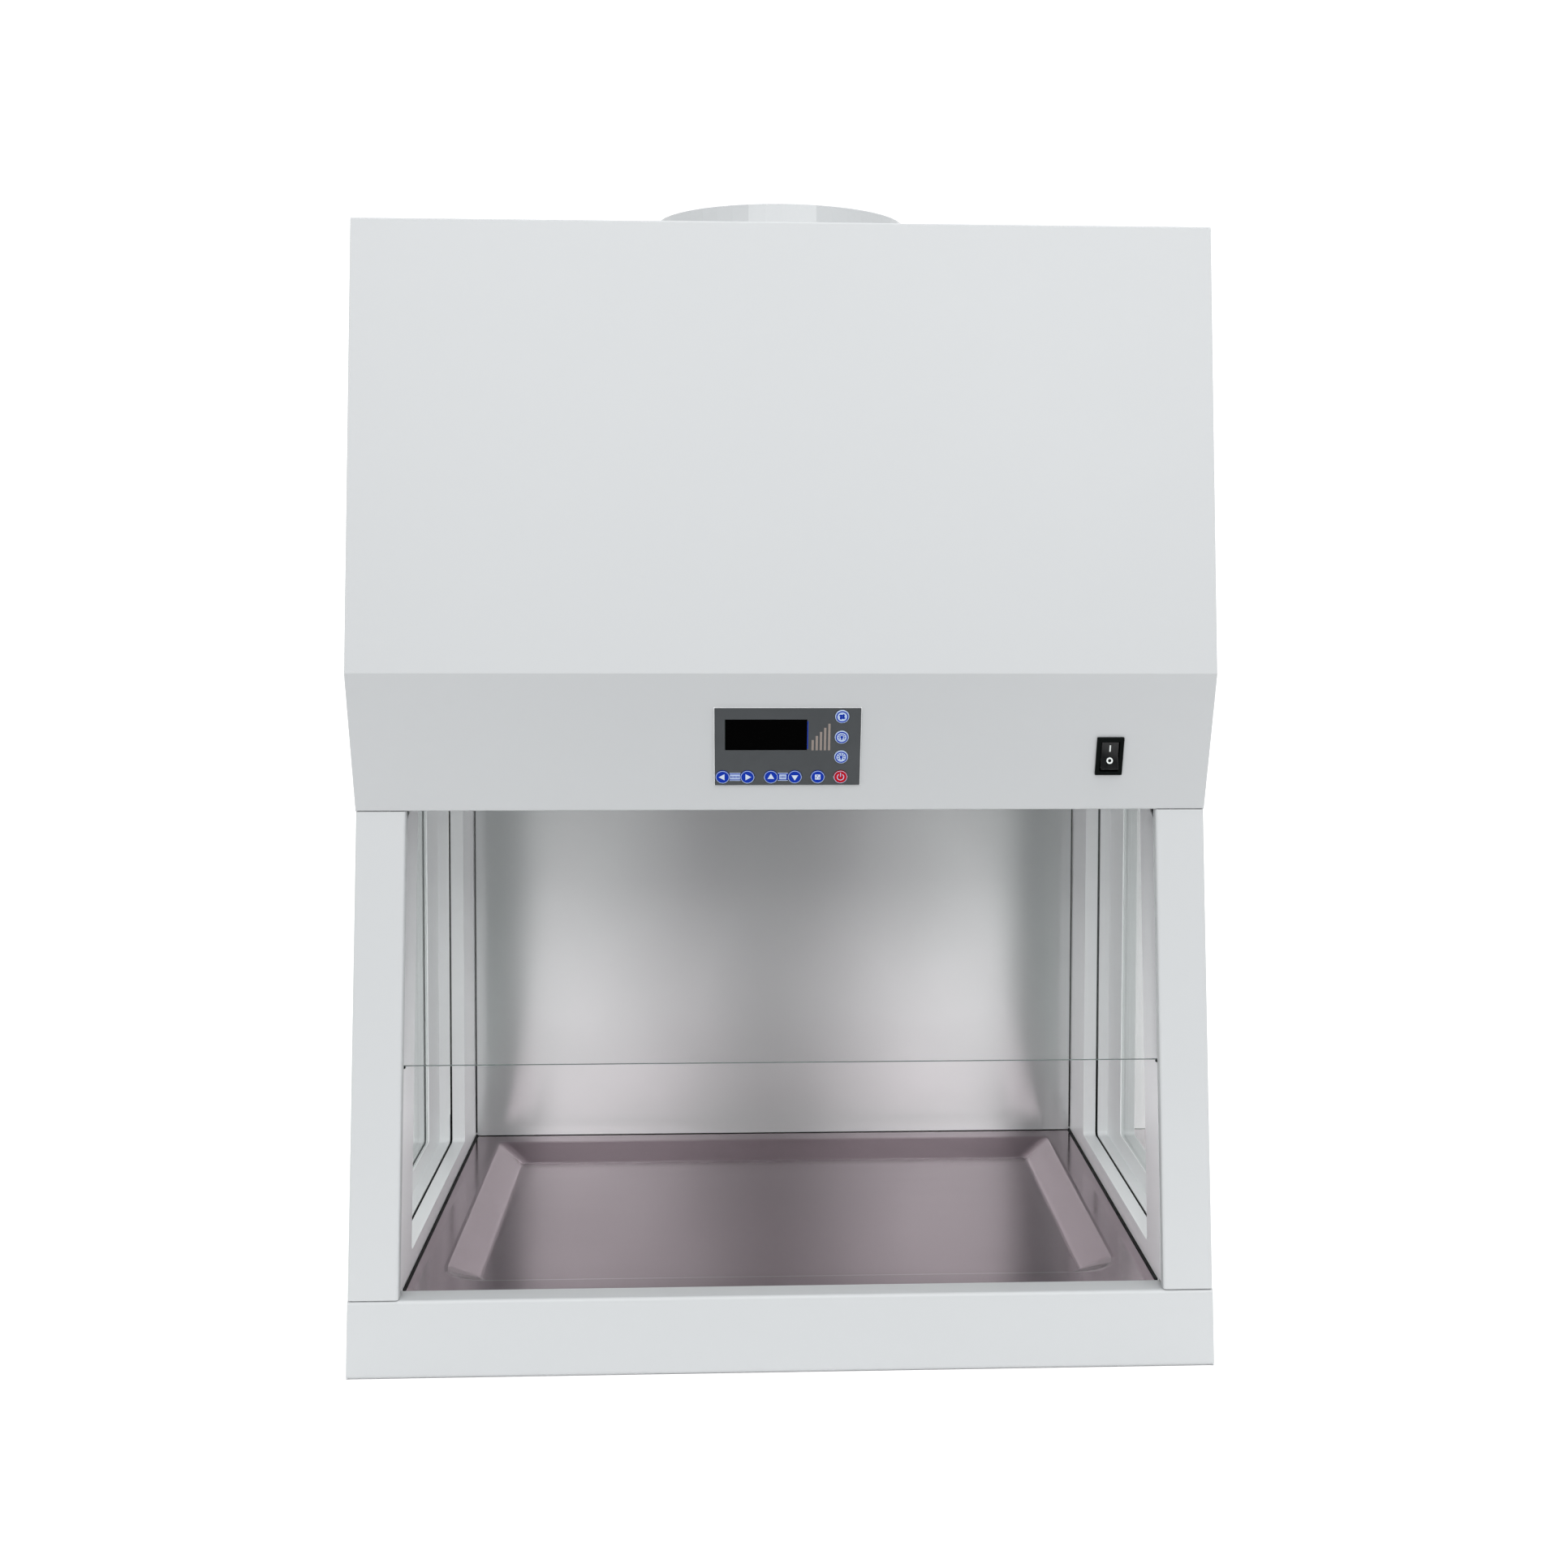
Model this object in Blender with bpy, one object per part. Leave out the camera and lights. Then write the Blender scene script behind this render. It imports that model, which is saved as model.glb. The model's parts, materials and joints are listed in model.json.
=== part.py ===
"""Bench-top ducted fume hood with a powered glass sash, in metres, +Z up, front facing -Y.

The origin is the middle of the footprint, on the surface that the hood stands on.
Three planes shape the front: the lower front (base and posts, leaning back as it rises),
the control band (leaning out as it rises) and the upper panel (leaning back again).
"""

import math

import bmesh
import bpy
from mathutils import Matrix, Vector

# ---------------------------------------------------------------- driving dimensions (metres)
WIDTH = 1.000
DEPTH = 0.750
ROOF_Z = 1.328
BAND_BOTTOM_Y, BAND_BOTTOM_Z = -0.2943, 0.641
CREASE_Y, CREASE_Z = -0.3503, 0.8052
ROOF_FRONT_Y = -0.2945
BASE_Z = 0.0867
SHEET = 0.002
GAP = 0.0005

POST_INNER_X = 0.4420
WALL_X = 0.4444  # inner face of the side walls
BACK_WALL_Y = 0.2757
TRAY_Z = 0.0816
TRAY_FRONT_Y = -0.3243
CEILING_Z = 0.7150

WINDOW_STEP_X = 0.4620  # depth of the liner's folded opening
FRAME_X = 0.4800  # inner face of the window frame
WINDOW_REAR_Y, WINDOW_SILL_Z, WINDOW_HEAD_Z = 0.1640, 0.1080, 0.6450
WINDOW_BEHIND_FRONT = 0.0980
GLASS_REAR_Y, GLASS_SILL_Z, GLASS_HEAD_Z = 0.0750, 0.1350, 0.6140
GLASS_BEHIND_FRONT = 0.1280

SASH_HALF_WIDTH = 0.4553
SASH_LENGTH = 0.625
SASH_LOWER = 0.3499  # along the slope, at rest
SASH_BEHIND = 0.0170
SASH_THICK = 0.0050

COLLAR_BORE_R, COLLAR_WALL = 0.1580, 0.0040
COLLAR_TOP_Z = 1.375
FAN_TOP_Z = 1.100
BLADES = 9

KEY_R = 0.00815
KEY_TRAVEL = 0.0005
PLATE_CENTRE_X = 0.0035
PLATE_W, PLATE_H = 0.1696, 0.0975
PLATE_DROP = 0.0911  # from the crease down the band to the plate's centre
PLATE_LOW, PLATE_HIGH = 0.0004, 0.0020  # the plate's two faces, above the band's face
DISPLAY = (-0.0692, -0.0953, 0.0260, -0.0564)
KEY_ROW = -0.1292
SWITCH_CENTRE = (0.3815, -0.1038)
ROCKER_TILT = math.radians(11.0)

BELT_X = 0.4560
PULLEY_R = 0.0150
SHAFT_R = 0.0050
SHAFT_OUT = 0.0070  # shaft's axis in front of the lower front plane
DRIVE_UP, IDLER_UP = 1.285, 0.722  # heights of the two shafts up the slope

HALF_W = WIDTH / 2
FOOT_Y, REAR_Y = -DEPTH / 2, DEPTH / 2
FRONT_SLOPE = (BAND_BOTTOM_Y - FOOT_Y) / BAND_BOTTOM_Z
BELT_BACK_Z = SHAFT_OUT - PULLEY_R  # belt's rear run, measured out of the lower front plane
ARC = 4  # segments in a rounded corner


def front_y(z, behind=0.0):
    """Y of the lower front plane at height z, or of a plane parallel to it further back."""
    return FOOT_Y + FRONT_SLOPE * z + behind


def upper_y(z, behind=0.0):
    """Y of the upper panel's outer face at height z."""
    lean = (ROOF_FRONT_Y - CREASE_Y) / (ROOF_Z - CREASE_Z)
    return CREASE_Y + lean * (z - CREASE_Z) + behind


# ---------------------------------------------------------------- materials
COLOURS = {
    "case_paint": ((0.66, 0.68, 0.68), 0.42, 0.0),
    "trim_paint": ((0.84, 0.86, 0.865), 0.30, 0.0),
    "steel_satin": ((0.55, 0.55, 0.56), 0.32, 1.0),
    "steel_polished": ((0.42, 0.38, 0.40), 0.12, 1.0),
    "galvanised": ((0.50, 0.52, 0.53), 0.45, 1.0),
    "clear_glass": ((0.80, 0.86, 0.85), 0.03, 0.0),
    "black_rubber": ((0.01, 0.01, 0.01), 0.70, 0.0),
    "grey_rubber": ((0.30, 0.31, 0.31), 0.50, 0.0),
    "black_plastic": ((0.015, 0.015, 0.016), 0.35, 0.0),
    "panel_film": ((0.09, 0.10, 0.11), 0.35, 0.0),
    "display_black": ((0.004, 0.004, 0.004), 0.08, 0.0),
    "key_blue": ((0.01, 0.04, 0.40), 0.30, 0.0),
    "key_red": ((0.42, 0.01, 0.02), 0.30, 0.0),
    "key_pale": ((0.62, 0.68, 0.85), 0.35, 0.0),
    "board_green": ((0.02, 0.16, 0.07), 0.45, 0.0),
    "lamp_white": ((0.90, 0.90, 0.88), 0.30, 0.0),
    "aluminium": ((0.60, 0.60, 0.61), 0.35, 1.0),
}


def material(name):
    """The named material, made on first use."""
    if name in bpy.data.materials:
        return bpy.data.materials[name]
    colour, roughness, metallic = COLOURS[name]
    made = bpy.data.materials.new(name)
    made.use_nodes = True
    shader = made.node_tree.nodes["Principled BSDF"]
    shader.inputs["Base Color"].default_value = (*colour, 1.0)
    shader.inputs["Roughness"].default_value = roughness
    shader.inputs["Metallic"].default_value = metallic
    if name == "clear_glass":
        shader.inputs["Transmission Weight"].default_value = 1.0
    return made


# ---------------------------------------------------------------- building blocks
def finish(name, bm, finish_name, parent=None, origin=(0, 0, 0), smooth=False):
    """Turns a bmesh into a named object whose origin lies at `origin` in the mesh's own frame."""
    bmesh.ops.recalc_face_normals(bm, faces=bm.faces)
    mesh = bpy.data.meshes.new(name)
    bm.transform(Matrix.Translation(-Vector(origin)))
    bm.to_mesh(mesh)
    bm.free()
    mesh.materials.append(material(finish_name))
    if smooth:
        mesh.shade_smooth()
        mesh.set_sharp_from_angle(angle=math.radians(35))
    obj = bpy.data.objects.new(name, mesh)
    bpy.context.scene.collection.objects.link(obj)
    obj.parent = parent
    obj.location = origin
    return obj


def empty(name, origin, x_axis, y_axis):
    """An empty whose local X and Y run along the given directions."""
    x, y = Vector(x_axis).normalized(), Vector(y_axis).normalized()
    frame = Matrix((x, y, x.cross(y))).transposed().to_4x4()
    frame.translation = Vector(origin)
    obj = bpy.data.objects.new(name, None)
    bpy.context.scene.collection.objects.link(obj)
    obj.matrix_world = frame
    return obj


def loft(loops, ring=False):
    """A closed skin through loops of equally many 3-D points: capped at both ends, or a ring."""
    bm = bmesh.new()
    rows = [[bm.verts.new(p) for p in loop] for loop in loops]
    pairs = list(zip(rows, rows[1:]))
    if ring:
        pairs.append((rows[-1], rows[0]))
    else:
        bm.faces.new(rows[0])
        bm.faces.new(rows[-1])
    for a, b in pairs:
        for i in range(len(a)):
            j = (i + 1) % len(a)
            bm.faces.new((a[i], a[j], b[j], b[i]))
    return bm


def slab(outline, low, high):
    """A prism on a flat XY outline, from z = low to z = high."""
    return loft([[(x, y, z) for x, y in outline] for z in (low, high)])


def box(low, high):
    (x0, y0, z0), (x1, y1, z1) = low, high
    return slab([(x0, y0), (x1, y0), (x1, y1), (x0, y1)], z0, z1)


def rectangle(x0, y0, x1, y1):
    return [(x0, y0), (x1, y0), (x1, y1), (x0, y1)]


def rounded(corners, radius, steps=ARC):
    """A convex or bent outline with each corner turned into an arc; one radius or one for each."""
    points = []
    radii = radius if isinstance(radius, tuple) else (radius,) * len(corners)
    for i, (corner, radius) in enumerate(zip(corners, radii)):
        here = Vector(corner)
        back = (Vector(corners[i - 1]) - here).normalized()
        on = (Vector(corners[(i + 1) % len(corners)]) - here).normalized()
        half = math.acos(max(-1.0, min(1.0, back.dot(on)))) / 2
        reach = radius / math.tan(half)
        centre = here + (back + on).normalized() * (radius / math.sin(half))
        start, end = here + back * reach - centre, here + on * reach - centre
        turn = start.angle_signed(end)
        for k in range(steps + 1):
            arm = start.copy()
            arm.rotate(Matrix.Rotation(-turn * k / steps, 2))
            points.append(tuple(centre + arm))
    return points


def grown(corners, by):
    """A convex outline, counter-clockwise, with every side moved outward by `by`."""
    lines = []
    for i, corner in enumerate(corners):
        a, b = Vector(corner), Vector(corners[(i + 1) % len(corners)])
        along = (b - a).normalized()
        out = Vector((along.y, -along.x))
        lines.append((a + out * by, along))
    points = []
    for i in range(len(lines)):
        (p, d), (q, e) = lines[i - 1], lines[i]
        t = (q - p).cross(e) / d.cross(e)
        points.append(tuple(p + d * t))
    return points


def circle(radius, segments, centre=(0.0, 0.0)):
    step = 2 * math.pi / segments
    return [
        (centre[0] + radius * math.cos(i * step), centre[1] + radius * math.sin(i * step))
        for i in range(segments)
    ]


def turned(profile, segments, ring=True):
    """A turned body about Z from (radius, z) pairs: a ring, or a solid whose ends are capped."""
    return loft([[(x, y, z) for x, y in circle(r, segments)] for r, z in profile], ring)


def folded(path, thickness, radius, steps=3):
    """The outline of a bent sheet: `path` is its outer face, and the sheet lies to its left."""
    outer = [Vector(path[0])]
    for i in range(1, len(path) - 1):
        here = Vector(path[i])
        back, on = (Vector(path[i - 1]) - here), (Vector(path[i + 1]) - here)
        back.normalize()
        on.normalize()
        half = math.acos(back.dot(on)) / 2
        centre = here + (back + on).normalized() * (radius / math.sin(half))
        start = here + back * (radius / math.tan(half)) - centre
        end = here + on * (radius / math.tan(half)) - centre
        turn = start.angle_signed(end)
        for k in range(steps + 1):
            arm = start.copy()
            arm.rotate(Matrix.Rotation(-turn * k / steps, 2))
            outer.append(centre + arm)
    outer.append(Vector(path[-1]))
    inner = []
    for i, here in enumerate(outer):
        ahead = (outer[min(i + 1, len(outer) - 1)] - here)
        behind = (here - outer[max(i - 1, 0)])
        ahead = ahead.normalized() if ahead.length > 0 else behind.normalized()
        behind = behind.normalized() if behind.length > 0 else ahead
        along = (ahead + behind).normalized()
        left = Vector((-along.y, along.x))
        inner.append(here + left * thickness / max(0.5, left.dot(Vector((-ahead.y, ahead.x)))))
    return [tuple(p) for p in outer] + [tuple(p) for p in reversed(inner)]


def across(outline, x0, x1):
    """A prism along X on an outline of (y, z) points."""
    return loft([[(x, y, z) for y, z in outline] for x in (x0, x1)])


def sideways(loops, ring, side):
    """A loft of (outline, x) loops whose outlines hold (y, z) points, on one side of the hood."""
    return loft([[(side * x, y, z) for y, z in outline] for outline, x in loops], ring)


def cut(target, name, bm, parent=None):
    """Takes a hidden helper shape out of `target`."""
    cutter = finish(name, bm, "galvanised", parent)
    cutter.hide_render = True
    cutter.display_type = "WIRE"
    modifier = target.modifiers.new(name, "BOOLEAN")
    modifier.operation = "DIFFERENCE"
    modifier.object = cutter


def add_union(target, name, bm, parent=None):
    """Joins a hidden helper shape to `target`."""
    helper = finish(name, bm, "galvanised", parent)
    helper.hide_render = True
    helper.display_type = "WIRE"
    modifier = target.modifiers.new(name, "BOOLEAN")
    modifier.operation = "UNION"
    modifier.object = helper


for old in list(bpy.data.objects):
    bpy.data.objects.remove(old)

# Local frames: X is the viewer's right, Y runs up the face, Z points out of it.
slope_up = Vector((0, FRONT_SLOPE, 1)).normalized()
front_frame = empty("lower_front_frame", (0, FOOT_Y, 0), (1, 0, 0), slope_up)
band_up = Vector((0, CREASE_Y - BAND_BOTTOM_Y, CREASE_Z - BAND_BOTTOM_Z)).normalized()
band_frame = empty("band_frame", (0, CREASE_Y, CREASE_Z), (1, 0, 0), band_up)
SIDES = (("left", -1), ("right", 1))


# ---------------------------------------------------------------- base
def base():
    fold = folded(
        [
            (front_y(0) + 0.020, 0.0),
            (front_y(0), 0.0),
            (front_y(BASE_Z), BASE_Z),
            (TRAY_FRONT_Y - GAP, TRAY_Z + 0.0026),
            (TRAY_FRONT_Y - GAP, 0.045),
        ][::-1],
        SHEET,
        0.0045,
        ARC,
    )
    apron = finish("base_front", across(fold, -HALF_W, HALF_W), "case_paint", smooth=True)
    inset = 0.0006
    end = [
        (front_y(0) + inset, inset),
        (TRAY_FRONT_Y - GAP, inset),
        (TRAY_FRONT_Y - GAP, TRAY_Z + 0.0020),
        (front_y(BASE_Z) + 0.004, BASE_Z - 0.0016),
        (front_y(BASE_Z - 0.004) + inset, BASE_Z - 0.004),
    ]
    for word, side in SIDES:
        x0, x1 = sorted((side * (HALF_W - SHEET), side * (HALF_W - 0.0002)))
        add_union(apron, f"base_front_end_{word}", across(end, x0, x1))
    front, rear, ledge_z = TRAY_FRONT_Y, REAR_Y - 0.0427, TRAY_Z - 0.0034
    for word, side in SIDES:
        # A folded side rail: outer face, top, drop beside the tray and a ledge under it.
        path = [(HALF_W - 0.020, 0), (HALF_W, 0), (HALF_W, BASE_Z), (0.4475, BASE_Z),
                (0.4475, ledge_z), (0.430, ledge_z)]
        outline = [(side * x, z) for x, z in folded(path, SHEET, 0.0028)]
        bm = loft([[(x, y, z) for x, z in outline] for y in (front, rear)])
        finish(f"base_{word}", bm, "case_paint", smooth=True)
    rear_path = [(REAR_Y - 0.020, 0.0), (REAR_Y, 0.0), (REAR_Y, BASE_Z), (REAR_Y - 0.0420, BASE_Z),
                 (REAR_Y - 0.0420, ledge_z), (BACK_WALL_Y - 0.014, ledge_z)]
    outline = folded(rear_path, SHEET, 0.0028)
    rail = finish("base_rear", across(outline, -HALF_W, HALF_W), "case_paint", smooth=True)
    for word, side in SIDES:
        x0, x1 = sorted((side * 0.4295, side * 0.510))
        cut(rail, f"base_rear_notch_{word}", box((x0, 0.20, 0.060), (x1, REAR_Y - 0.0425, 0.100)))
        x0, x1 = sorted((side * (HALF_W - SHEET), side * (HALF_W - 0.0002)))
        end = box((x0, REAR_Y - 0.0414, inset), (x1, REAR_Y - inset, BASE_Z - inset))
        add_union(rail, f"base_rear_end_{word}", end)


# ---------------------------------------------------------------- work surface
def work_surface():
    """A pressed tray: flat rim, sloped sides, flat floor, one skin of even thickness."""
    x, front, back = WALL_X - 0.0006, TRAY_FRONT_Y, BACK_WALL_Y - 0.0006
    recess = 0.018
    skin = 0.003

    def level(inset_x, inset_front, inset_back, z, front_r, back_r):
        corners = rectangle(-x + inset_x, front + inset_front, x - inset_x, back - inset_back)
        return [(px, py, z) for px, py in rounded(corners, (front_r, front_r, back_r, back_r))]

    top = [
        (0.0795, 0.0795, 0.0733, -recess, 0.012, 0.006),
        (0.0763, 0.0763, 0.0701, -recess + 0.0007, 0.015, 0.007),
        (0.0731, 0.0731, 0.0669, -recess + 0.0023, 0.018, 0.008),
        (0.0425, 0.0385, 0.0363, -0.0022, 0.046, 0.010),
        (0.0390, 0.0350, 0.0328, -0.0006, 0.047, 0.009),
        (0.0350, 0.0310, 0.0288, 0.0, 0.048, 0.008),
        (0.0, 0.0, 0.0, 0.0, 0.0015, 0.0015),
    ]
    loops = [level(ix, iy, iz, TRAY_Z + dz, *radii) for ix, iy, iz, dz, *radii in top]
    loops += [level(ix, iy, iz, TRAY_Z + dz - skin, *radii) for ix, iy, iz, dz, *radii in reversed(top)]
    finish("work_surface", loft(loops), "steel_polished", smooth=True)


# ---------------------------------------------------------------- posts, side walls, windows
def post(word, side):
    """A folded post: a face on the front plane, an outer return and a short inner return."""
    inner, outer = POST_INNER_X, HALF_W
    path = [(inner, 0.0135), (inner, 0.0), (outer, 0.0), (outer, 0.070)]
    outline = folded(path, SHEET, 0.0035, ARC)
    bottom, top = BASE_Z + GAP, BAND_BOTTOM_Z - GAP
    loops = [[(side * x, front_y(z, d), z) for x, d in outline] for z in (bottom, top)]
    finish(f"post_{word}", loft(loops), "case_paint", smooth=True)


def opening(rear_y, sill_z, head_z, behind, by=0.0):
    """The window outline as (y, z) points, counter-clockwise, its front edge along the slope."""
    corners = [
        (front_y(sill_z, behind), sill_z),
        (rear_y, sill_z),
        (rear_y, head_z),
        (front_y(head_z, behind), head_z),
    ]
    return grown(corners, by)


def window_outline(by=0.0):
    return opening(WINDOW_REAR_Y, WINDOW_SILL_Z, WINDOW_HEAD_Z, WINDOW_BEHIND_FRONT, by)


def glass_outline(by=0.0):
    return opening(GLASS_REAR_Y, GLASS_SILL_Z, GLASS_HEAD_Z, GLASS_BEHIND_FRONT, by)


def side_wall(word, side):
    """The inner liner, the gasket, the window frame, the glass and the outer panel."""
    liner = [
        (front_y(TRAY_Z + 0.001, 0.0262), TRAY_Z + 0.001),
        (BACK_WALL_Y - GAP, TRAY_Z + 0.001),
        (BACK_WALL_Y - GAP, CEILING_Z - GAP),
        (front_y(CEILING_Z, 0.0262), CEILING_Z - GAP),
    ]
    liner_edge = rounded(liner, 0.0008)
    hole = rounded(window_outline(), 0.006)
    lip = rounded(window_outline(0.0015), 0.0075)
    skin_x = WALL_X + 0.0015
    loops = [(liner_edge, WALL_X), (hole, WALL_X), (hole, WINDOW_STEP_X), (lip, WINDOW_STEP_X),
             (lip, skin_x), (liner_edge, skin_x)]
    panel = finish(f"side_liner_{word}", sideways(loops, True, side), "steel_satin")
    x0, x1 = sorted((side * 0.440, side * 0.450))
    notch = box((x0, FOOT_Y, 0.070), (x1, TRAY_FRONT_Y + 0.0003, BASE_Z + GAP))
    cut(panel, f"side_liner_{word}_notch", notch)
    # A relief at the top of the slot, where the sash passes up behind the front cover.
    relief = [(front_y(0.6266, 0.0230), 0.6266), (front_y(0.6386, 0.0460), 0.6386),
              (front_y(0.6700, 0.0460), 0.6700), (front_y(0.6700, 0.0230), 0.6700)]
    cut(panel, f"side_liner_{word}_relief", across(relief, x0, x1))

    bead = [(0.4441, 0.0003), (0.4413, 0.0003), (0.4416, 0.0013), (0.4426, 0.0024), (0.4441, 0.0029)]
    ends = (TRAY_FRONT_Y + 0.0008, BACK_WALL_Y - 0.0007)
    bm = loft([[(side * x, y, TRAY_Z + z) for x, z in bead] for y in ends])
    finish(f"floor_seal_{word}", bm, "black_rubber")

    inner, outer = rounded(window_outline(0.0010), 0.007), rounded(window_outline(0.0080), 0.014)
    x0, x1 = WINDOW_STEP_X + 0.0004, WINDOW_STEP_X + 0.0030
    loops = [(outer, x0), (inner, x0), (inner, x1), (outer, x1)]
    finish(f"window_gasket_{word}", sideways(loops, True, side), "black_rubber")

    lip_x, back_x = WINDOW_STEP_X + 0.0034, FRAME_X + 0.0015
    hole, sight = rounded(window_outline(), 0.006), rounded(glass_outline(), 0.006)
    edge = rounded(window_outline(0.0015), 0.0075)
    loops = [(edge, lip_x), (hole, lip_x), (hole, FRAME_X),
             (sight, FRAME_X), (sight, back_x), (edge, back_x)]
    finish(f"window_frame_{word}", sideways(loops, True, side), "trim_paint")

    lap = 0.0050  # the pane reaches this far past the sight line
    pane = rounded(glass_outline(lap), 0.006 + lap)
    loops = [(pane, back_x + 0.0004), (pane, back_x + 0.0054)]
    finish(f"side_glass_{word}", sideways(loops, False, side), "clear_glass")

    # The seal's L section goes round the pane's edge and fills the outer panel's opening.
    inner, outer = rounded(glass_outline(0.001), 0.007), rounded(glass_outline(0.0075), 0.0135)
    around = rounded(glass_outline(lap + 0.0004), 0.0064 + lap)
    x0, step, x1 = back_x + 0.0004, back_x + 0.0058, HALF_W - 0.0002
    loops = [(around, x0), (around, step), (inner, step), (inner, x1), (outer, x1), (outer, x0)]
    finish(f"window_seal_{word}", sideways(loops, True, side), "grey_rubber")

    band_gap = SHEET + GAP
    outline = [
        (front_y(BASE_Z + GAP, 0.0708), BASE_Z + GAP),
        (REAR_Y - SHEET - GAP, BASE_Z + GAP),
        (REAR_Y - SHEET - GAP, ROOF_Z - SHEET - GAP),
        (upper_y(ROOF_Z) + 0.0036, ROOF_Z - SHEET - GAP),
        (CREASE_Y + band_gap * 1.15, CREASE_Z),
        (BAND_BOTTOM_Y + 0.0030, BAND_BOTTOM_Z + band_gap),
        (front_y(BAND_BOTTOM_Z, 0.0708), BAND_BOTTOM_Z + band_gap),
    ]
    x0, x1 = sorted((side * (HALF_W - SHEET), side * HALF_W))
    panel = finish(f"side_panel_{word}", across(outline, x0, x1), "case_paint")
    hole = rounded(glass_outline(0.008), 0.014)
    loops = [(hole, HALF_W - 0.010), (hole, HALF_W + 0.010)]
    cut(panel, f"side_panel_{word}_cut", sideways(loops, False, side))


# ---------------------------------------------------------------- back, top and covers
def shell():
    x = WALL_X - GAP
    finish(
        "back_liner",
        box((-x, BACK_WALL_Y, TRAY_Z + 0.001), (x, BACK_WALL_Y + SHEET, CEILING_Z + 0.020)),
        "steel_satin",
    )
    x = HALF_W - SHEET - GAP
    rear = finish(
        "rear_cover",
        box((-x, REAR_Y - SHEET, BASE_Z + GAP), (x, REAR_Y, ROOF_Z - SHEET - GAP)),
        "case_paint",
    )
    for k in range(7):
        z = 1.080 + 0.018 * k
        for side in (-1, 1):
            low, high = sorted((side * 0.255, side * 0.375))
            slot = rounded(rectangle(low, z, high, z + 0.006), 0.0029, 2)
            bm = loft([[(px, y, pz) for px, pz in slot] for y in (REAR_Y - 0.01, REAR_Y + 0.01)])
            cut(rear, f"rear_slot_{k}_{side}", bm)
    inlet = rectangle(0.3865, 0.1465, 0.4135, 0.1675)
    bm = loft([[(px, y, pz) for px, pz in inlet] for y in (REAR_Y - 0.01, REAR_Y + 0.01)])
    cut(rear, "rear_inlet_cut", bm)

    path = [
        (ROOF_FRONT_Y + 0.030, ROOF_Z),
        (ROOF_FRONT_Y, ROOF_Z),
        (CREASE_Y, CREASE_Z),
        (BAND_BOTTOM_Y, BAND_BOTTOM_Z),
        (BAND_BOTTOM_Y + 0.0140, BAND_BOTTOM_Z),
    ]
    cover = finish("front_cover", across(folded(path, SHEET, 0.0025), -HALF_W, HALF_W), "case_paint",
                   smooth=True)
    half_w, half_h = PLATE_W / 2 - 0.0004, PLATE_H / 2 - 0.0006
    hole = rectangle(PLATE_CENTRE_X - half_w, -PLATE_DROP - half_h, PLATE_CENTRE_X + half_w,
                     -PLATE_DROP + half_h)
    cut(cover, "control_cut", slab(hole, -0.012, 0.012), band_frame)
    cx, cy = SWITCH_CENTRE
    hole = rectangle(cx - 0.0137, cy - 0.0217, cx + 0.0137, cy + 0.0217)
    cut(cover, "switch_cut", slab(hole, -0.012, 0.012), band_frame)

    x = HALF_W
    roof = finish(
        "roof_panel",
        box((-x, ROOF_FRONT_Y + 0.030 + GAP, ROOF_Z - SHEET), (x, REAR_Y, ROOF_Z)),
        "case_paint",
    )
    radius = COLLAR_BORE_R + COLLAR_WALL + 0.0008
    cut(roof, "roof_cut", slab(circle(radius, 48), ROOF_Z - 0.01, ROOF_Z + 0.01))

    x = WALL_X - GAP
    ceiling = finish(
        "chamber_ceiling",
        box((-x, front_y(CEILING_Z, 0.030), CEILING_Z), (x, BACK_WALL_Y - GAP, CEILING_Z + SHEET)),
        "steel_satin",
    )
    cut(ceiling, "ceiling_cut", slab(circle(0.150, 40), CEILING_Z - 0.01, CEILING_Z + 0.01))


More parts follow.
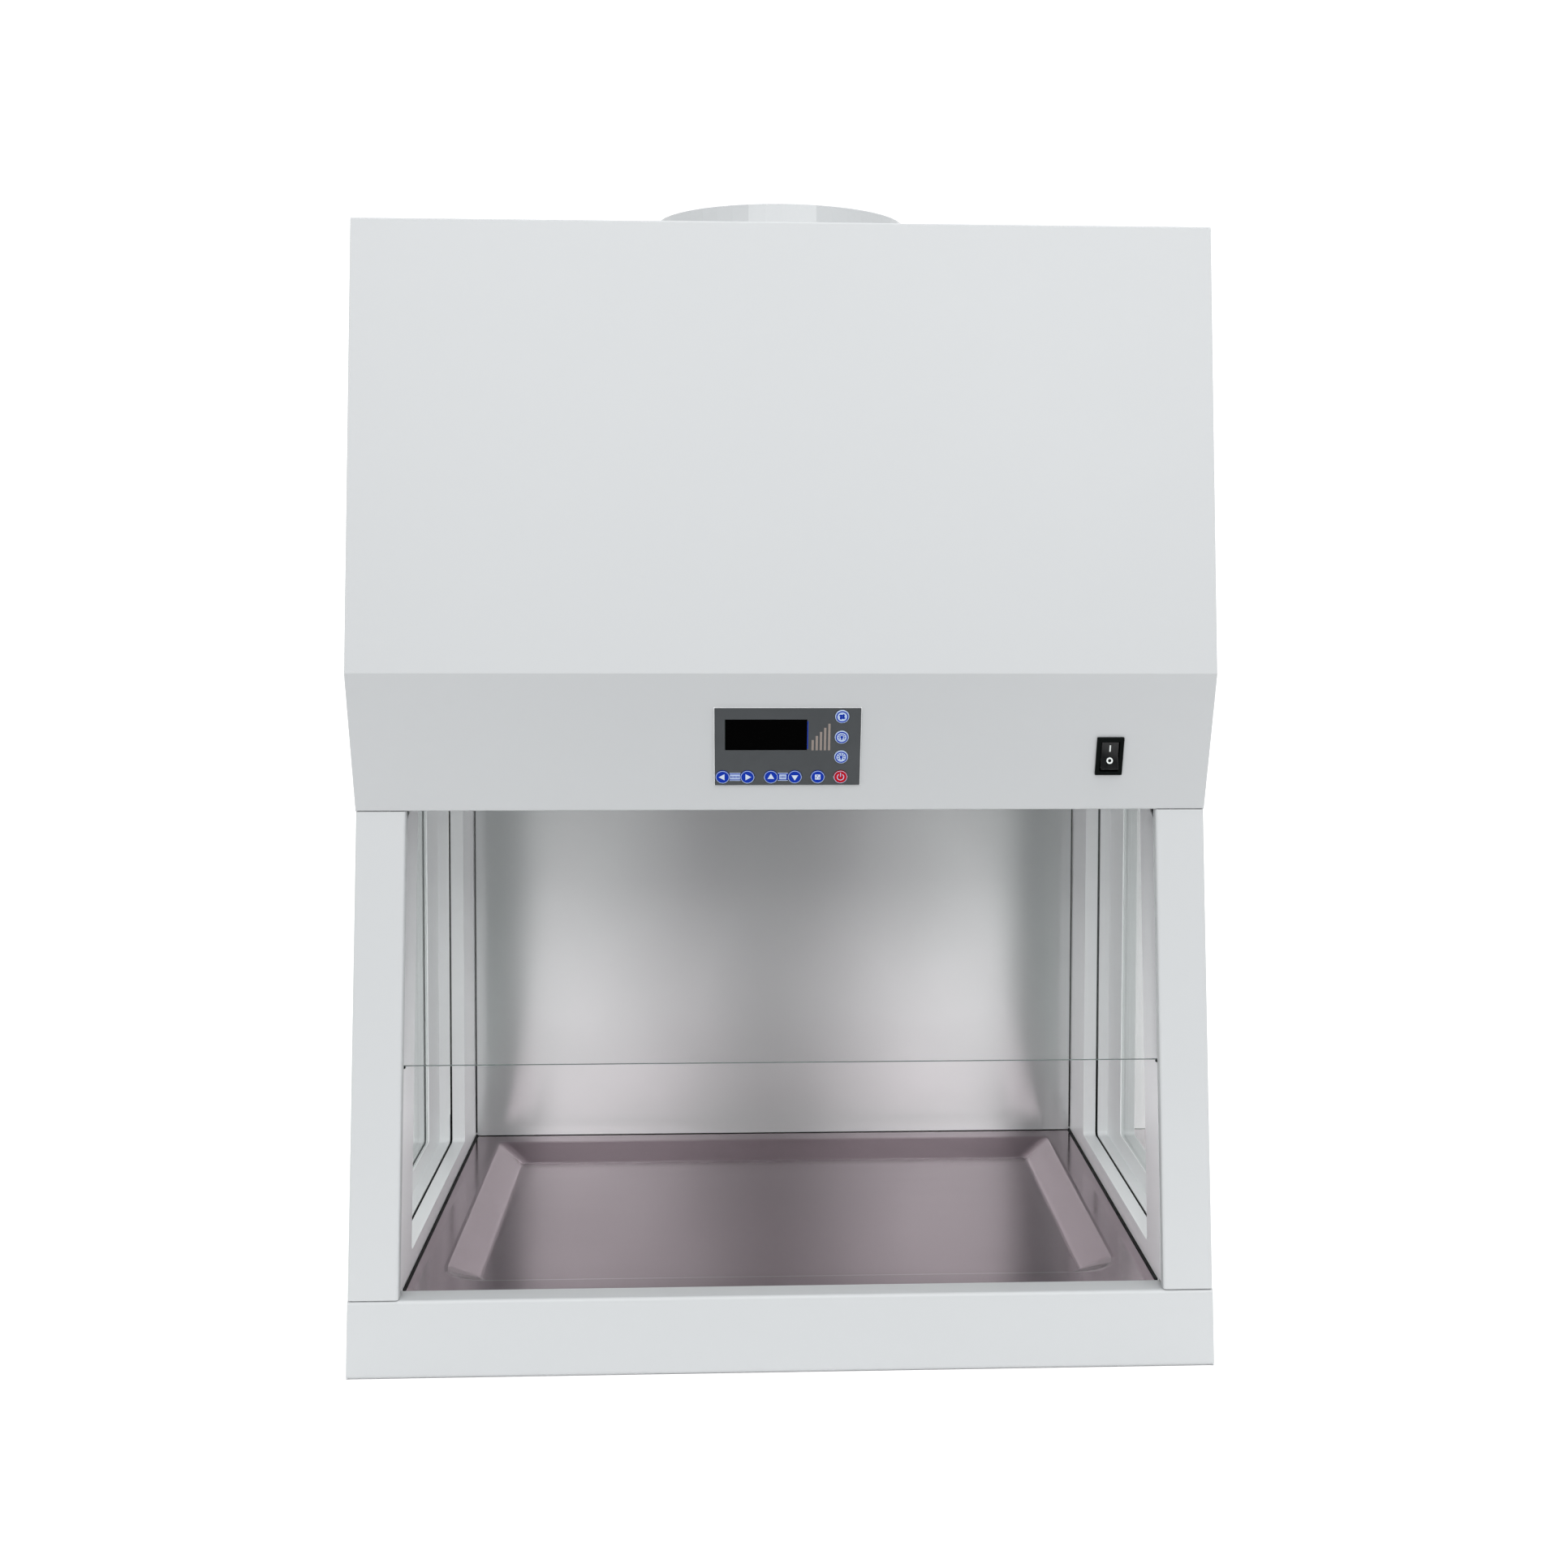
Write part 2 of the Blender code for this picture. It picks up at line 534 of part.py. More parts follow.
# ---------------------------------------------------------------- exhaust
def exhaust():
    bore, outer = COLLAR_BORE_R, COLLAR_BORE_R + COLLAR_WALL
    base_z = FAN_TOP_Z + GAP
    profile = [
        (outer, COLLAR_TOP_Z - 0.001),
        (outer, ROOF_Z + 0.0034),
        (outer + 0.018, ROOF_Z + 0.0034),
        (outer + 0.018, ROOF_Z + 0.0004),
        (outer, ROOF_Z + 0.0004),
        (outer, base_z),
        (bore, base_z),
        (bore, COLLAR_TOP_Z - 0.001),
        (bore + 0.001, COLLAR_TOP_Z),
        (outer - 0.001, COLLAR_TOP_Z),
    ]
    finish("exhaust_collar", turned(profile, 48), "case_paint", smooth=True)

    flange, mouth = CEILING_Z + SHEET + GAP, 0.150
    profile = [
        (bore + 0.002, FAN_TOP_Z),
        (bore + 0.002, 0.800),
        (mouth + 0.006, flange + 0.020),
        (mouth + 0.012, flange + 0.003),
        (mouth + 0.030, flange + 0.003),
        (mouth + 0.030, flange),
        (mouth + 0.004, flange),
        (mouth - 0.002, flange + 0.006),
        (mouth - 0.0005, flange + 0.022),
        (bore, 0.802),
        (bore, FAN_TOP_Z),
    ]
    finish("fan_housing", turned(profile, 40), "galvanised", smooth=True)

    # Grille: a rim and parallel bars, all in one plane under the ceiling.
    z0, z1 = CEILING_Z - 0.0064, CEILING_Z - 0.0004
    rim_inner, rim_outer = 0.148, 0.168
    rim = turned([(rim_outer, z1), (rim_outer, z0), (rim_inner, z0), (rim_inner, z1)], 40)
    grille = finish("exhaust_grille", rim, "steel_satin")
    bar_pitch, bar_half = 0.0245, 0.0025
    for k in range(-5, 6):
        y = bar_pitch * k
        reach = math.sqrt((rim_inner + 0.008)**2 - y**2)
        bar = box((-reach, y - bar_half, z0 + 0.001), (reach, y + bar_half, z1 - 0.001))
        add_union(grille, f"grille_bar_{k}", bar)

    motor_low, motor_high, motor_r = 0.960, 1.080, 0.054
    face_r = motor_r - 0.006
    profile = [(0.012, motor_low), (face_r, motor_low), (motor_r, motor_low + 0.006),
               (motor_r, motor_high - 0.006), (face_r, motor_high), (0.012, motor_high)]
    motor = finish("fan_motor", turned(profile, 28, ring=False), "galvanised", smooth=True)
    for k in range(4):
        arm = box((motor_r - 0.004, -0.006, motor_high - 0.030), (bore - 0.0006, 0.006, motor_high - 0.010))
        arm.transform(Matrix.Rotation(math.radians(45 + 90 * k), 4, "Z"))
        add_union(motor, f"motor_arm_{k}", arm)

    hub_low, hub_high, hub_r = 0.868, 0.930, 0.052
    profile = [(0.010, hub_low), (0.040, hub_low + 0.004), (hub_r, hub_low + 0.018), (hub_r, hub_high),
               (0.008, hub_high), (0.008, motor_low - 0.0006)]
    impeller = finish("impeller", turned(profile, 28, ring=False), "galvanised", smooth=True)
    blade_z, blade_half = 0.902, 0.0011
    stations = ((0.046, 0.030, 52.0), (0.100, 0.026, 36.0), (0.150, 0.026, 24.0))
    for k in range(BLADES):
        # A twisted blade: (radius, half chord, lean in degrees) at its root, middle and tip.
        loops = []
        for radius, chord, lean in stations:
            angle = math.radians(lean)
            along = Vector((0, math.cos(angle), math.sin(angle))) * chord
            thick = Vector((0, -math.sin(angle), math.cos(angle))) * blade_half
            middle = Vector((radius, 0, blade_z))
            loops.append([middle + along + thick, middle + along - thick,
                          middle - along - thick, middle - along + thick])
        blade = loft(loops)
        blade.transform(Matrix.Rotation(2 * math.pi * k / BLADES, 4, "Z"))
        add_union(impeller, f"impeller_blade_{k}", blade)


# ---------------------------------------------------------------- lamp
def lamp():
    y, z = -0.2140, CEILING_Z - 0.0005
    half_length, deep = 0.330, 0.022
    profile = [(y - 0.034, z), (y - 0.026, z - deep), (y + 0.026, z - deep), (y + 0.034, z)]
    finish("lamp_housing", across(profile, -half_length, half_length), "lamp_white")
    tube_r, tube_half = 0.0080, 0.300
    profile = [(tube_r - 0.0015, -tube_half), (tube_r, -tube_half + 0.002),
               (tube_r, tube_half - 0.002), (tube_r - 0.0015, tube_half)]
    tube = turned(profile, 16, ring=False)
    tube.transform(Matrix.Translation((0, y, z - deep - 0.0090)) @ Matrix.Rotation(math.pi / 2, 4, "Y"))
    finish("lamp_tube", tube, "lamp_white", smooth=True)


# ---------------------------------------------------------------- sash and its drive
def sash():
    half, low, high = SASH_HALF_WIDTH, SASH_LOWER, SASH_LOWER + SASH_LENGTH
    back, front = -SASH_BEHIND - SASH_THICK, -SASH_BEHIND
    outline = rounded(rectangle(-half, low, half, high), 0.003, 2)
    inset = rounded(rectangle(-half + 0.0006, low + 0.0006, half - 0.0006, high - 0.0006), 0.0028, 2)
    loops = [(inset, back), (outline, back + 0.0006), (outline, front - 0.0006), (inset, front)]
    bm = loft([[(x, y, z) for x, y in points] for points, z in loops])
    finish("sash_glass", bm, "clear_glass", front_frame)

    # Top rail: a channel over the glass's top edge, with an arm beside each belt.
    top = high
    section = [
        (top - 0.016, back - 0.0028), (top + 0.006, back - 0.0028), (top + 0.006, front + 0.0028),
        (top - 0.016, front + 0.0028), (top - 0.016, front + 0.0004), (top + 0.0005, front + 0.0004),
        (top + 0.0005, back - 0.0004), (top - 0.016, back - 0.0004),
    ]
    rail_half = 0.4440
    bm = loft([[(x, y, z) for y, z in section] for x in (-rail_half, rail_half)])
    rail = finish("sash_rail", bm, "aluminium", front_frame)
    for word, side in SIDES:
        x0, x1 = sorted((side * 0.395, side * 0.4640))
        plate = box((x0, top + 0.002, BELT_BACK_Z - 0.0060), (x1, top + 0.034, BELT_BACK_Z - 0.0021))
        x0, x1 = sorted((side * 0.395, side * 0.4400))
        foot = box((x0, top + 0.001, back - 0.001), (x1, top + 0.012, BELT_BACK_Z - 0.0035))
        add_union(rail, f"rail_plate_{word}", plate, front_frame)
        add_union(rail, f"rail_foot_{word}", foot, front_frame)

    for word, side in SIDES:
        x0, x1 = sorted((side * (POST_INNER_X - 0.0008), side * (half - 0.0003)))
        outline = rounded(rectangle(x0, low - 0.0032, x1, low - 0.0004), 0.0010, 2)
        finish(f"sash_shoe_{word}", slab(outline, back + 0.0002, front - 0.0002), "black_plastic",
               front_frame)


def guides_and_belts():
    lowest, highest = 0.0895, 1.295
    for word, side in SIDES:
        lip_x, back_x = POST_INNER_X + 0.0035, POST_INNER_X + 0.0200
        web = SASH_HALF_WIDTH + 0.0012
        slot = 0.0006
        front_lip, back_lip = -SASH_BEHIND + 0.0022, -SASH_BEHIND - SASH_THICK - 0.0022
        section = [
            (lip_x, front_lip), (back_x, front_lip), (back_x, back_lip), (lip_x, back_lip),
            (lip_x, -SASH_BEHIND - SASH_THICK - slot), (web, -SASH_BEHIND - SASH_THICK - slot),
            (web, -SASH_BEHIND + slot), (lip_x, -SASH_BEHIND + slot),
        ]
        bm = loft([[(side * x, y, z) for x, z in section] for y in (lowest, highest)])
        finish(f"sash_guide_{word}", bm, "black_plastic", front_frame)

        # A flat closed belt around both pulleys.
        centre_z = SHAFT_OUT
        radius = PULLEY_R + 0.0003

        def loop(r):
            points = []
            for up, start in ((DRIVE_UP, 0.0), (IDLER_UP, math.pi)):
                for k in range(13):
                    angle = start + math.pi * k / 12
                    points.append((up + r * math.sin(angle), centre_z + r * math.cos(angle)))
            return points

        x0, x1 = side * (BELT_X - 0.005), side * (BELT_X + 0.005)
        inner, outer = loop(radius), loop(radius + 0.0013)
        rings = [(inner, x0), (outer, x0), (outer, x1), (inner, x1)]
        bm = loft([[(x, y, z) for y, z in points] for points, x in rings], True)
        finish(f"belt_{word}", bm, "black_rubber", front_frame)

        x = side * BELT_X
        profile = [(0.0040, -0.0075), (PULLEY_R, -0.0075), (PULLEY_R, 0.0075), (0.0040, 0.0075)]
        bm = turned(profile, 24)
        bm.transform(Matrix.Rotation(math.pi / 2, 4, "Y"))
        bm.transform(Matrix.Translation((x, IDLER_UP, centre_z)))
        finish(f"idler_{word}", bm, "aluminium", front_frame, origin=(x, IDLER_UP, centre_z), smooth=True)

    # Drive shaft with a pulley near each end.
    ends = BELT_X + 0.0240
    profile = [(SHAFT_R, -ends)]
    for side in (-1, 1):
        a, b = side * BELT_X - 0.0075, side * BELT_X + 0.0075
        profile += [(SHAFT_R, a), (PULLEY_R, a), (PULLEY_R, b), (SHAFT_R, b)]
    profile.append((SHAFT_R, ends))
    bm = turned(profile, 24, ring=False)
    bm.transform(Matrix.Rotation(math.pi / 2, 4, "Y"))
    place = (0, DRIVE_UP, SHAFT_OUT)
    bm.transform(Matrix.Translation(place))
    finish("drive_shaft", bm, "aluminium", front_frame, origin=place, smooth=True)

    # Gear motor: a gearbox around the shaft with the motor hanging below it.
    x, y, z = 0.280, DRIVE_UP, SHAFT_OUT
    case = box((x - 0.030, y - 0.028, z - 0.018), (x + 0.030, y + 0.020, z + 0.022))
    gearbox = finish("sash_motor", case, "galvanised", front_frame)
    can_r, can_length = 0.018, 0.100
    profile = [(can_r - 0.002, -can_length), (can_r, -can_length + 0.002),
               (can_r, 0.0), (can_r - 0.002, 0.004)]
    bm = turned(profile, 20, ring=False)
    bm.transform(Matrix.Translation((x, y - 0.026, z)) @ Matrix.Rotation(-math.pi / 2, 4, "X"))
    add_union(gearbox, "sash_motor_can", bm, front_frame)
    bm = turned([(SHAFT_R + 0.0006, -0.050), (SHAFT_R + 0.0006, 0.050)], 20, ring=False)
    bm.transform(Matrix.Translation((x, y, z)) @ Matrix.Rotation(math.pi / 2, 4, "Y"))
    cut(gearbox, "sash_motor_bore", bm, front_frame)


# ---------------------------------------------------------------- controls
KEYS = (
    ("key_fan", 0.0663, -0.0526, "key_pale"),
    ("key_light", 0.0662, -0.0786, "key_pale"),
    ("key_uv", 0.0660, -0.1038, "key_pale"),
    ("key_power", 0.0657, KEY_ROW, "key_red"),
    ("key_socket", 0.0390, KEY_ROW, "key_blue"),
    ("key_sash_down", 0.0122, KEY_ROW, "key_blue"),
    ("key_sash_up", -0.0157, KEY_ROW, "key_blue"),
    ("key_speed_up", -0.0431, KEY_ROW, "key_blue"),
    ("key_speed_down", -0.0721, KEY_ROW, "key_blue"),
)


def controls():
    x0, x1 = PLATE_CENTRE_X - PLATE_W / 2, PLATE_CENTRE_X + PLATE_W / 2
    y0, y1 = -PLATE_DROP - PLATE_H / 2, -PLATE_DROP + PLATE_H / 2
    sheet = slab(rounded(rectangle(x0, y0, x1, y1), 0.0008, 2), PLATE_LOW, PLATE_HIGH)
    plate = finish("control_plate", sheet, "panel_film", band_frame)
    hole_gap = 0.0004
    for name, x, y, _ in KEYS:
        cut(plate, f"{name}_hole", slab(circle(KEY_R + hole_gap, 28, (x, y)), -0.01, 0.01), band_frame)
    cut(plate, "display_hole", slab(rectangle(*DISPLAY), -0.01, 0.01), band_frame)

    x0, y0, x1, y1 = DISPLAY
    lens = rectangle(x0 + 0.0004, y0 + 0.0004, x1 - 0.0004, y1 - 0.0004)
    finish("display_window", slab(lens, -0.0006, PLATE_HIGH - 0.0002), "display_black", band_frame)

    for name, x, y, finish_name in KEYS:
        profile = [(KEY_R - 0.0005, -0.0010), (KEY_R, -0.0007), (KEY_R, PLATE_HIGH + 0.0004),
                   (KEY_R - 0.0005, PLATE_HIGH + 0.0008), (KEY_R - 0.0016, PLATE_HIGH + 0.0009)]
        bm = turned(profile, 28, ring=False)
        bm.transform(Matrix.Translation((x, y, 0)))
        finish(name, bm, finish_name, band_frame, origin=(x, y, 0), smooth=True)

    board_z = -0.0100
    half_w, half_h = PLATE_W / 2 - 0.010, PLATE_H / 2 - 0.006
    bm = box((PLATE_CENTRE_X - half_w, -PLATE_DROP - half_h, board_z - 0.0016),
             (PLATE_CENTRE_X + half_w, -PLATE_DROP + half_h, board_z))
    board = finish("control_board", bm, "board_green", band_frame)
    for name, x, y, _ in KEYS:
        y_on = min(max(y, -PLATE_DROP - half_h + 0.004), -PLATE_DROP + half_h - 0.004)
        boss = slab(circle(0.0030, 8, (x, y_on)), board_z - 0.0008, -0.0010 - KEY_TRAVEL - 0.0006)
        add_union(board, f"{name}_contact", boss, band_frame)


def switch():
    cx, cy = SWITCH_CENTRE
    half_w, half_h = 0.0160, 0.0241

    def ring(w, h, z, radius):
        return [(x, y, z) for x, y in rounded(rectangle(cx - w, cy - h, cx + w, cy + h), radius, 3)]

    wall_w, wall_h = 0.0132, 0.0212
    hole_w, hole_h = 0.0112, 0.0190
    loops = [
        ring(wall_w, wall_h, -0.0240, 0.002),
        ring(wall_w, wall_h, 0.0004, 0.002),
        ring(half_w, half_h, 0.0004, 0.0012),
        ring(half_w, half_h, 0.0022, 0.0012),
        ring(half_w - 0.0008, half_h - 0.0008, 0.0030, 0.001),
        ring(hole_w, hole_h, 0.0030, 0.001),
        ring(hole_w, hole_h, -0.0190, 0.001),
    ]
    finish("switch_housing", loft(loops), "black_plastic", band_frame, smooth=True)

    # Rocker: a V-shaped face turned about its pivot, the upper half pressed in at rest.
    pivot_z = -0.0045
    reach = 0.0168
    rise = reach * math.tan(ROCKER_TILT)
    face = [(-reach, 0.0075 + rise * 0.5), (0.0, 0.0075 - rise * 0.35), (reach, 0.0075 + rise * 0.5)]
    end = 0.0030
    profile = [(-reach, -end), (-0.0060, -0.0085), (0.0060, -0.0085), (reach, -end)] + face[::-1]
    half = hole_w - 0.0006
    bm = loft([[(x, y, z) for y, z in profile] for x in (-half, half)])
    bm.transform(Matrix.Translation((cx, cy, pivot_z)) @ Matrix.Rotation(-ROCKER_TILT, 4, "X"))
    finish("switch_rocker", bm, "black_plastic", band_frame, origin=(cx, cy, pivot_z))


def mains_inlet():
    """A flanged appliance inlet, open to the rear, set in the rear cover."""
    cx, cz = 0.400, 0.157

    def ring(w, h, y, radius):
        return [(x, y, z) for x, z in rounded(rectangle(cx - w, cz - h, cx + w, cz + h), radius, 2)]

    face = REAR_Y
    loops = [
        ring(0.0130, 0.0100, face - 0.0240, 0.002),
        ring(0.0200, 0.0150, face - 0.0240, 0.003),
        ring(0.0200, 0.0150, face - SHEET - 0.0006, 0.003),
        ring(0.0130, 0.0100, face - SHEET - 0.0006, 0.002),
        ring(0.0130, 0.0100, face - 0.0003, 0.002),
        ring(0.0118, 0.0085, face - 0.0003, 0.0015),
        ring(0.0118, 0.0085, face - 0.0180, 0.0015),
    ]
    finish("mains_inlet", loft(loops), "black_plastic")


base()
work_surface()
for side_word, side_sign in SIDES:
    post(side_word, side_sign)
    side_wall(side_word, side_sign)
shell()
exhaust()
lamp()
sash()
guides_and_belts()
controls()
switch()
mains_inlet()
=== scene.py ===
"""Looks of the bench-top fume hood: materials, panel graphics, seals, screws, light and camera.

Every size is in metres in the row frame: +Z up, +X the viewer's right, front facing -Y.
"""

import json
import math

import bmesh
import bpy
from mathutils import Matrix, Vector


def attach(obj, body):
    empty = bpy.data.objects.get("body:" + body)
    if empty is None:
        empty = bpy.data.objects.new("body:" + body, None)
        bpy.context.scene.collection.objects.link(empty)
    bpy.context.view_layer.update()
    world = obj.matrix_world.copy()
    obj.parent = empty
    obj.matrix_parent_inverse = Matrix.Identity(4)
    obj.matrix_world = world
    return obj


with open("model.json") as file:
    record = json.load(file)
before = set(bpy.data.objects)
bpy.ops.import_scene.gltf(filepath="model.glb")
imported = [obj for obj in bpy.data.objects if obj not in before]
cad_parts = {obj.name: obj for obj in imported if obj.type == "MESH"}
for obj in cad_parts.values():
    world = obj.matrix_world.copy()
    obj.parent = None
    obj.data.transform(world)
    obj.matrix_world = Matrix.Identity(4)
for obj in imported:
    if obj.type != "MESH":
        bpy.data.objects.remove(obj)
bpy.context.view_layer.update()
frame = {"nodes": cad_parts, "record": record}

nodes = frame["nodes"]

# ---------------------------------------------------------------- places taken from the hood
BAND_BOTTOM = Vector((0, -0.2943, 0.6410))
CREASE = Vector((0, -0.3503, 0.8052))
KEY_R = 0.00815
KEY_TOP = 0.0029  # height of a key's face above the band
PLATE_CENTRE = (0.0035, -0.0911)
PLATE_WIDTH, PLATE_HEIGHT, PLATE_TOP = 0.1696, 0.0975, 0.0020
KEY_ROW = -0.1292
KEY_PLACES = {
    "key_fan": (0.0663, -0.0526),
    "key_light": (0.0662, -0.0786),
    "key_uv": (0.0660, -0.1038),
    "key_power": (0.0657, KEY_ROW),
    "key_socket": (0.0390, KEY_ROW),
    "key_sash_down": (0.0122, KEY_ROW),
    "key_sash_up": (-0.0157, KEY_ROW),
    "key_speed_up": (-0.0431, KEY_ROW),
    "key_speed_down": (-0.0721, KEY_ROW),
}
SWITCH_PLACE = (0.3815, -0.1038)
WALL_X, BACK_WALL_Y, TRAY_Z = 0.4444, 0.2757, 0.0816
REAR_Y, ROOF_Z = 0.375, 1.328
COLLAR_R = 0.162
INLET_PLACE = (0.400, 0.157)  # X and Z of the mains inlet on the rear cover


def band_matrix():
    """Local X is the viewer's right, Y runs up the control band and Z points out of it."""
    x, y = Vector((1, 0, 0)), (CREASE - BAND_BOTTOM).normalized()
    matrix = Matrix((x, y, x.cross(y))).transposed().to_4x4()
    matrix.translation = CREASE
    return matrix


BAND = band_matrix()


# ---------------------------------------------------------------- shader helpers
class Shader:
    """A Principled material and the few kinds of node that the finishes here are made of."""

    def __init__(self, name, colour, roughness, metallic=0.0):
        self.material = bpy.data.materials.new(name)
        self.material.use_nodes = True
        self.tree = self.material.node_tree
        self.main = self.tree.nodes["Principled BSDF"]
        self.out = self.tree.nodes["Material Output"]
        self.put("Base Color", (*colour, 1.0))
        self.put("Roughness", roughness)
        self.put("Metallic", metallic)
        self.place = self.tree.nodes.new("ShaderNodeTexCoord").outputs["Object"]

    def put(self, socket, value):
        self.main.inputs[socket].default_value = value

    def link(self, a, b):
        self.tree.links.new(a, b)

    def noise(self, scale, detail=2.0, stretch=(1, 1, 1), rough=0.5):
        mapping = self.tree.nodes.new("ShaderNodeMapping")
        mapping.inputs["Scale"].default_value = stretch
        self.link(self.place, mapping.inputs["Vector"])
        node = self.tree.nodes.new("ShaderNodeTexNoise")
        node.inputs["Scale"].default_value = scale
        node.inputs["Detail"].default_value = detail
        node.inputs["Roughness"].default_value = rough
        self.link(mapping.outputs["Vector"], node.inputs["Vector"])
        return node.outputs["Fac"]

    def spread(self, value, low, high, start=0.3, end=0.7):
        node = self.tree.nodes.new("ShaderNodeMapRange")
        for socket, number in (("From Min", start), ("From Max", end), ("To Min", low), ("To Max", high)):
            node.inputs[socket].default_value = number
        self.link(value, node.inputs["Value"])
        return node.outputs["Result"]

    def mix(self, value, first, second):
        node = self.tree.nodes.new("ShaderNodeMix")
        node.data_type = "RGBA"
        node.inputs["A"].default_value = (*first, 1.0)
        node.inputs["B"].default_value = (*second, 1.0)
        self.link(value, node.inputs["Factor"])
        return node.outputs["Result"]

    def tones(self, value, first, second):
        self.link(self.mix(value, first, second), self.main.inputs["Base Color"])

    def roughness(self, value, low, high):
        self.link(self.spread(value, low, high), self.main.inputs["Roughness"])

    def bump(self, value, strength, distance):
        node = self.tree.nodes.new("ShaderNodeBump")
        node.inputs["Strength"].default_value = strength
        node.inputs["Distance"].default_value = distance
        self.link(value, node.inputs["Height"])
        self.link(node.outputs["Normal"], self.main.inputs["Normal"])


def ramp(tree, value, start, end, low=0.0, high=1.0):
    """Goes smoothly from low to high as the value goes from start to end."""
    node = tree.nodes.new("ShaderNodeMapRange")
    node.interpolation_type = "SMOOTHSTEP"
    for socket, number in (("From Min", start), ("From Max", end), ("To Min", low), ("To Max", high)):
        node.inputs[socket].default_value = number
    tree.links.new(value, node.inputs["Value"])
    return node.outputs["Result"]


def join(tree, operation, a, b):
    node = tree.nodes.new("ShaderNodeMath")
    node.operation = operation
    tree.links.new(a, node.inputs[0])
    tree.links.new(b, node.inputs[1])
    return node.outputs["Value"]


def strip(tree, value, outer_low, inner_low, inner_high, outer_high):
    """1 between the two inner places, falling to 0 at the outer ones."""
    falling = ramp(tree, value, inner_high, outer_high, 1.0, 0.0)
    return join(tree, "MULTIPLY", ramp(tree, value, outer_low, inner_low), falling)


def axes(tree, place):
    """The X, Y and Z outputs of a vector."""
    split = tree.nodes.new("ShaderNodeSeparateXYZ")
    tree.links.new(place, split.inputs["Vector"])
    return (split.outputs[axis] for axis in "XYZ")


def shade(colour, factor):
    return tuple(min(1.0, channel * factor) for channel in colour)


# ---------------------------------------------------------------- finishes
def powder_coat(name, rough, colour=(0.362, 0.374, 0.382)):
    """Light grey powder coat: a fine orange peel and faint clouds in tone and gloss."""
    finish = Shader(name, colour, rough)
    finish.tones(finish.noise(2.2, 3), shade(colour, 0.992), shade(colour, 1.008))
    finish.roughness(finish.noise(14, 3), rough - 0.01, rough + 0.01)
    finish.bump(finish.noise(900, 2), 0.08, 0.0001)
    return finish.material


def satin_steel(name, colour, low, high, stretch, painted_shade_top=1.0, metallic=0.9):
    """Stainless sheet with a fine directional grain; higher up its colour is scaled by the top factor, a
    painted shade under the ceiling.
    """
    finish = Shader(name, colour, (low + high) / 2, metallic)
    grain = finish.noise(1500, 2, stretch)
    cloud = finish.noise(3.2, 2, (1, 1, 0.5))
    tone = finish.mix(finish.spread(cloud, 0.0, 1.0, 0.35, 0.65), shade(colour, 0.95), shade(colour, 1.05))
    _, _, height = axes(finish.tree, finish.place)
    # Painted shade: between 0.16 m and 0.60 m high the colour blends to itself times the top factor, darker
    # towards the ceiling.
    painted_top_shade = finish.tree.nodes.new("ShaderNodeMix")
    painted_top_shade.data_type, painted_top_shade.blend_type = "RGBA", "MULTIPLY"
    finish.link(finish.spread(height, 0.0, 1.0, 0.16, 0.60), painted_top_shade.inputs["Factor"])
    finish.link(tone, painted_top_shade.inputs["A"])
    painted_top_shade.inputs["B"].default_value = (painted_shade_top, painted_shade_top * 0.99, painted_shade_top, 1.0)
    finish.link(painted_top_shade.outputs["Result"], finish.main.inputs["Base Color"])
    finish.roughness(finish.noise(7, 3), low, high)
    finish.bump(grain, 0.02, 0.00001)
    along = finish.tree.nodes.new("ShaderNodeTangent")
    along.direction_type, along.axis = "RADIAL", "Z"
    finish.link(along.outputs["Tangent"], finish.main.inputs["Tangent"])
    finish.put("Anisotropic", 1.0)
    finish.put("Anisotropic Rotation", 0.25)
    return finish.material


def polished_steel():
    """The work surface: bright pressed stainless with light wiping marks."""
    colour = (0.345, 0.272, 0.303)
    finish = Shader("polished_steel", colour, 0.16, 1.0)
    finish.tones(finish.noise(5, 4), shade(colour, 0.97), shade(colour, 1.03))
    finish.roughness(finish.noise(40, 4, (0.15, 1, 1)), 0.14, 0.19)
    finish.bump(finish.noise(6, 2), 0.03, 0.0004)
    return finish.material


def plain_metal(name, colour, low, high):
    finish = Shader(name, colour, (low + high) / 2, 1.0)
    finish.tones(finish.noise(35, 4), shade(colour, 0.93), shade(colour, 1.05))
    finish.roughness(finish.noise(60, 3), low, high)
    return finish.material


def clear_glass(name, tint, head_on, power):
    """Thin clear pane: what is behind shows through the tint, with a reflection that grows edge-on."""
    finish = Shader(name, (0.9, 0.93, 0.92), 0.02)
    finish.roughness(finish.noise(6, 2), 0.01, 0.03)
    clear = finish.tree.nodes.new("ShaderNodeBsdfTransparent")
    clear.inputs["Color"].default_value = (*tint, 1.0)
    facing = finish.tree.nodes.new("ShaderNodeLayerWeight")
    facing.inputs["Blend"].default_value = 0.5
    steep = finish.tree.nodes.new("ShaderNodeMath")
    steep.operation = "POWER"
    steep.inputs[1].default_value = power
    finish.link(facing.outputs["Facing"], steep.inputs[0])
    weight = finish.spread(steep.outputs["Value"], head_on, 1.0, 0.0, 1.0)
    finish.put("Metallic", 1.0)
    mixer = finish.tree.nodes.new("ShaderNodeMixShader")
    finish.link(weight, mixer.inputs["Fac"])
    finish.link(clear.outputs["BSDF"], mixer.inputs[1])
    finish.link(finish.main.outputs["BSDF"], mixer.inputs[2])
    finish.link(mixer.outputs["Shader"], finish.out.inputs["Surface"])
    return finish.material


def moulded(name, colour, roughness, grain=600, depth=0.12, gloss=0.5):
    """Moulded plastic or rubber with a fine sparked grain."""
    finish = Shader(name, colour, roughness)
    finish.put("Specular IOR Level", gloss)
    finish.tones(finish.noise(30, 3), shade(colour, 0.88), shade(colour, 1.12))
    finish.roughness(finish.noise(80, 3), roughness - 0.05, roughness + 0.06)
    finish.bump(finish.noise(grain, 2), depth, 0.0001)
    return finish.material


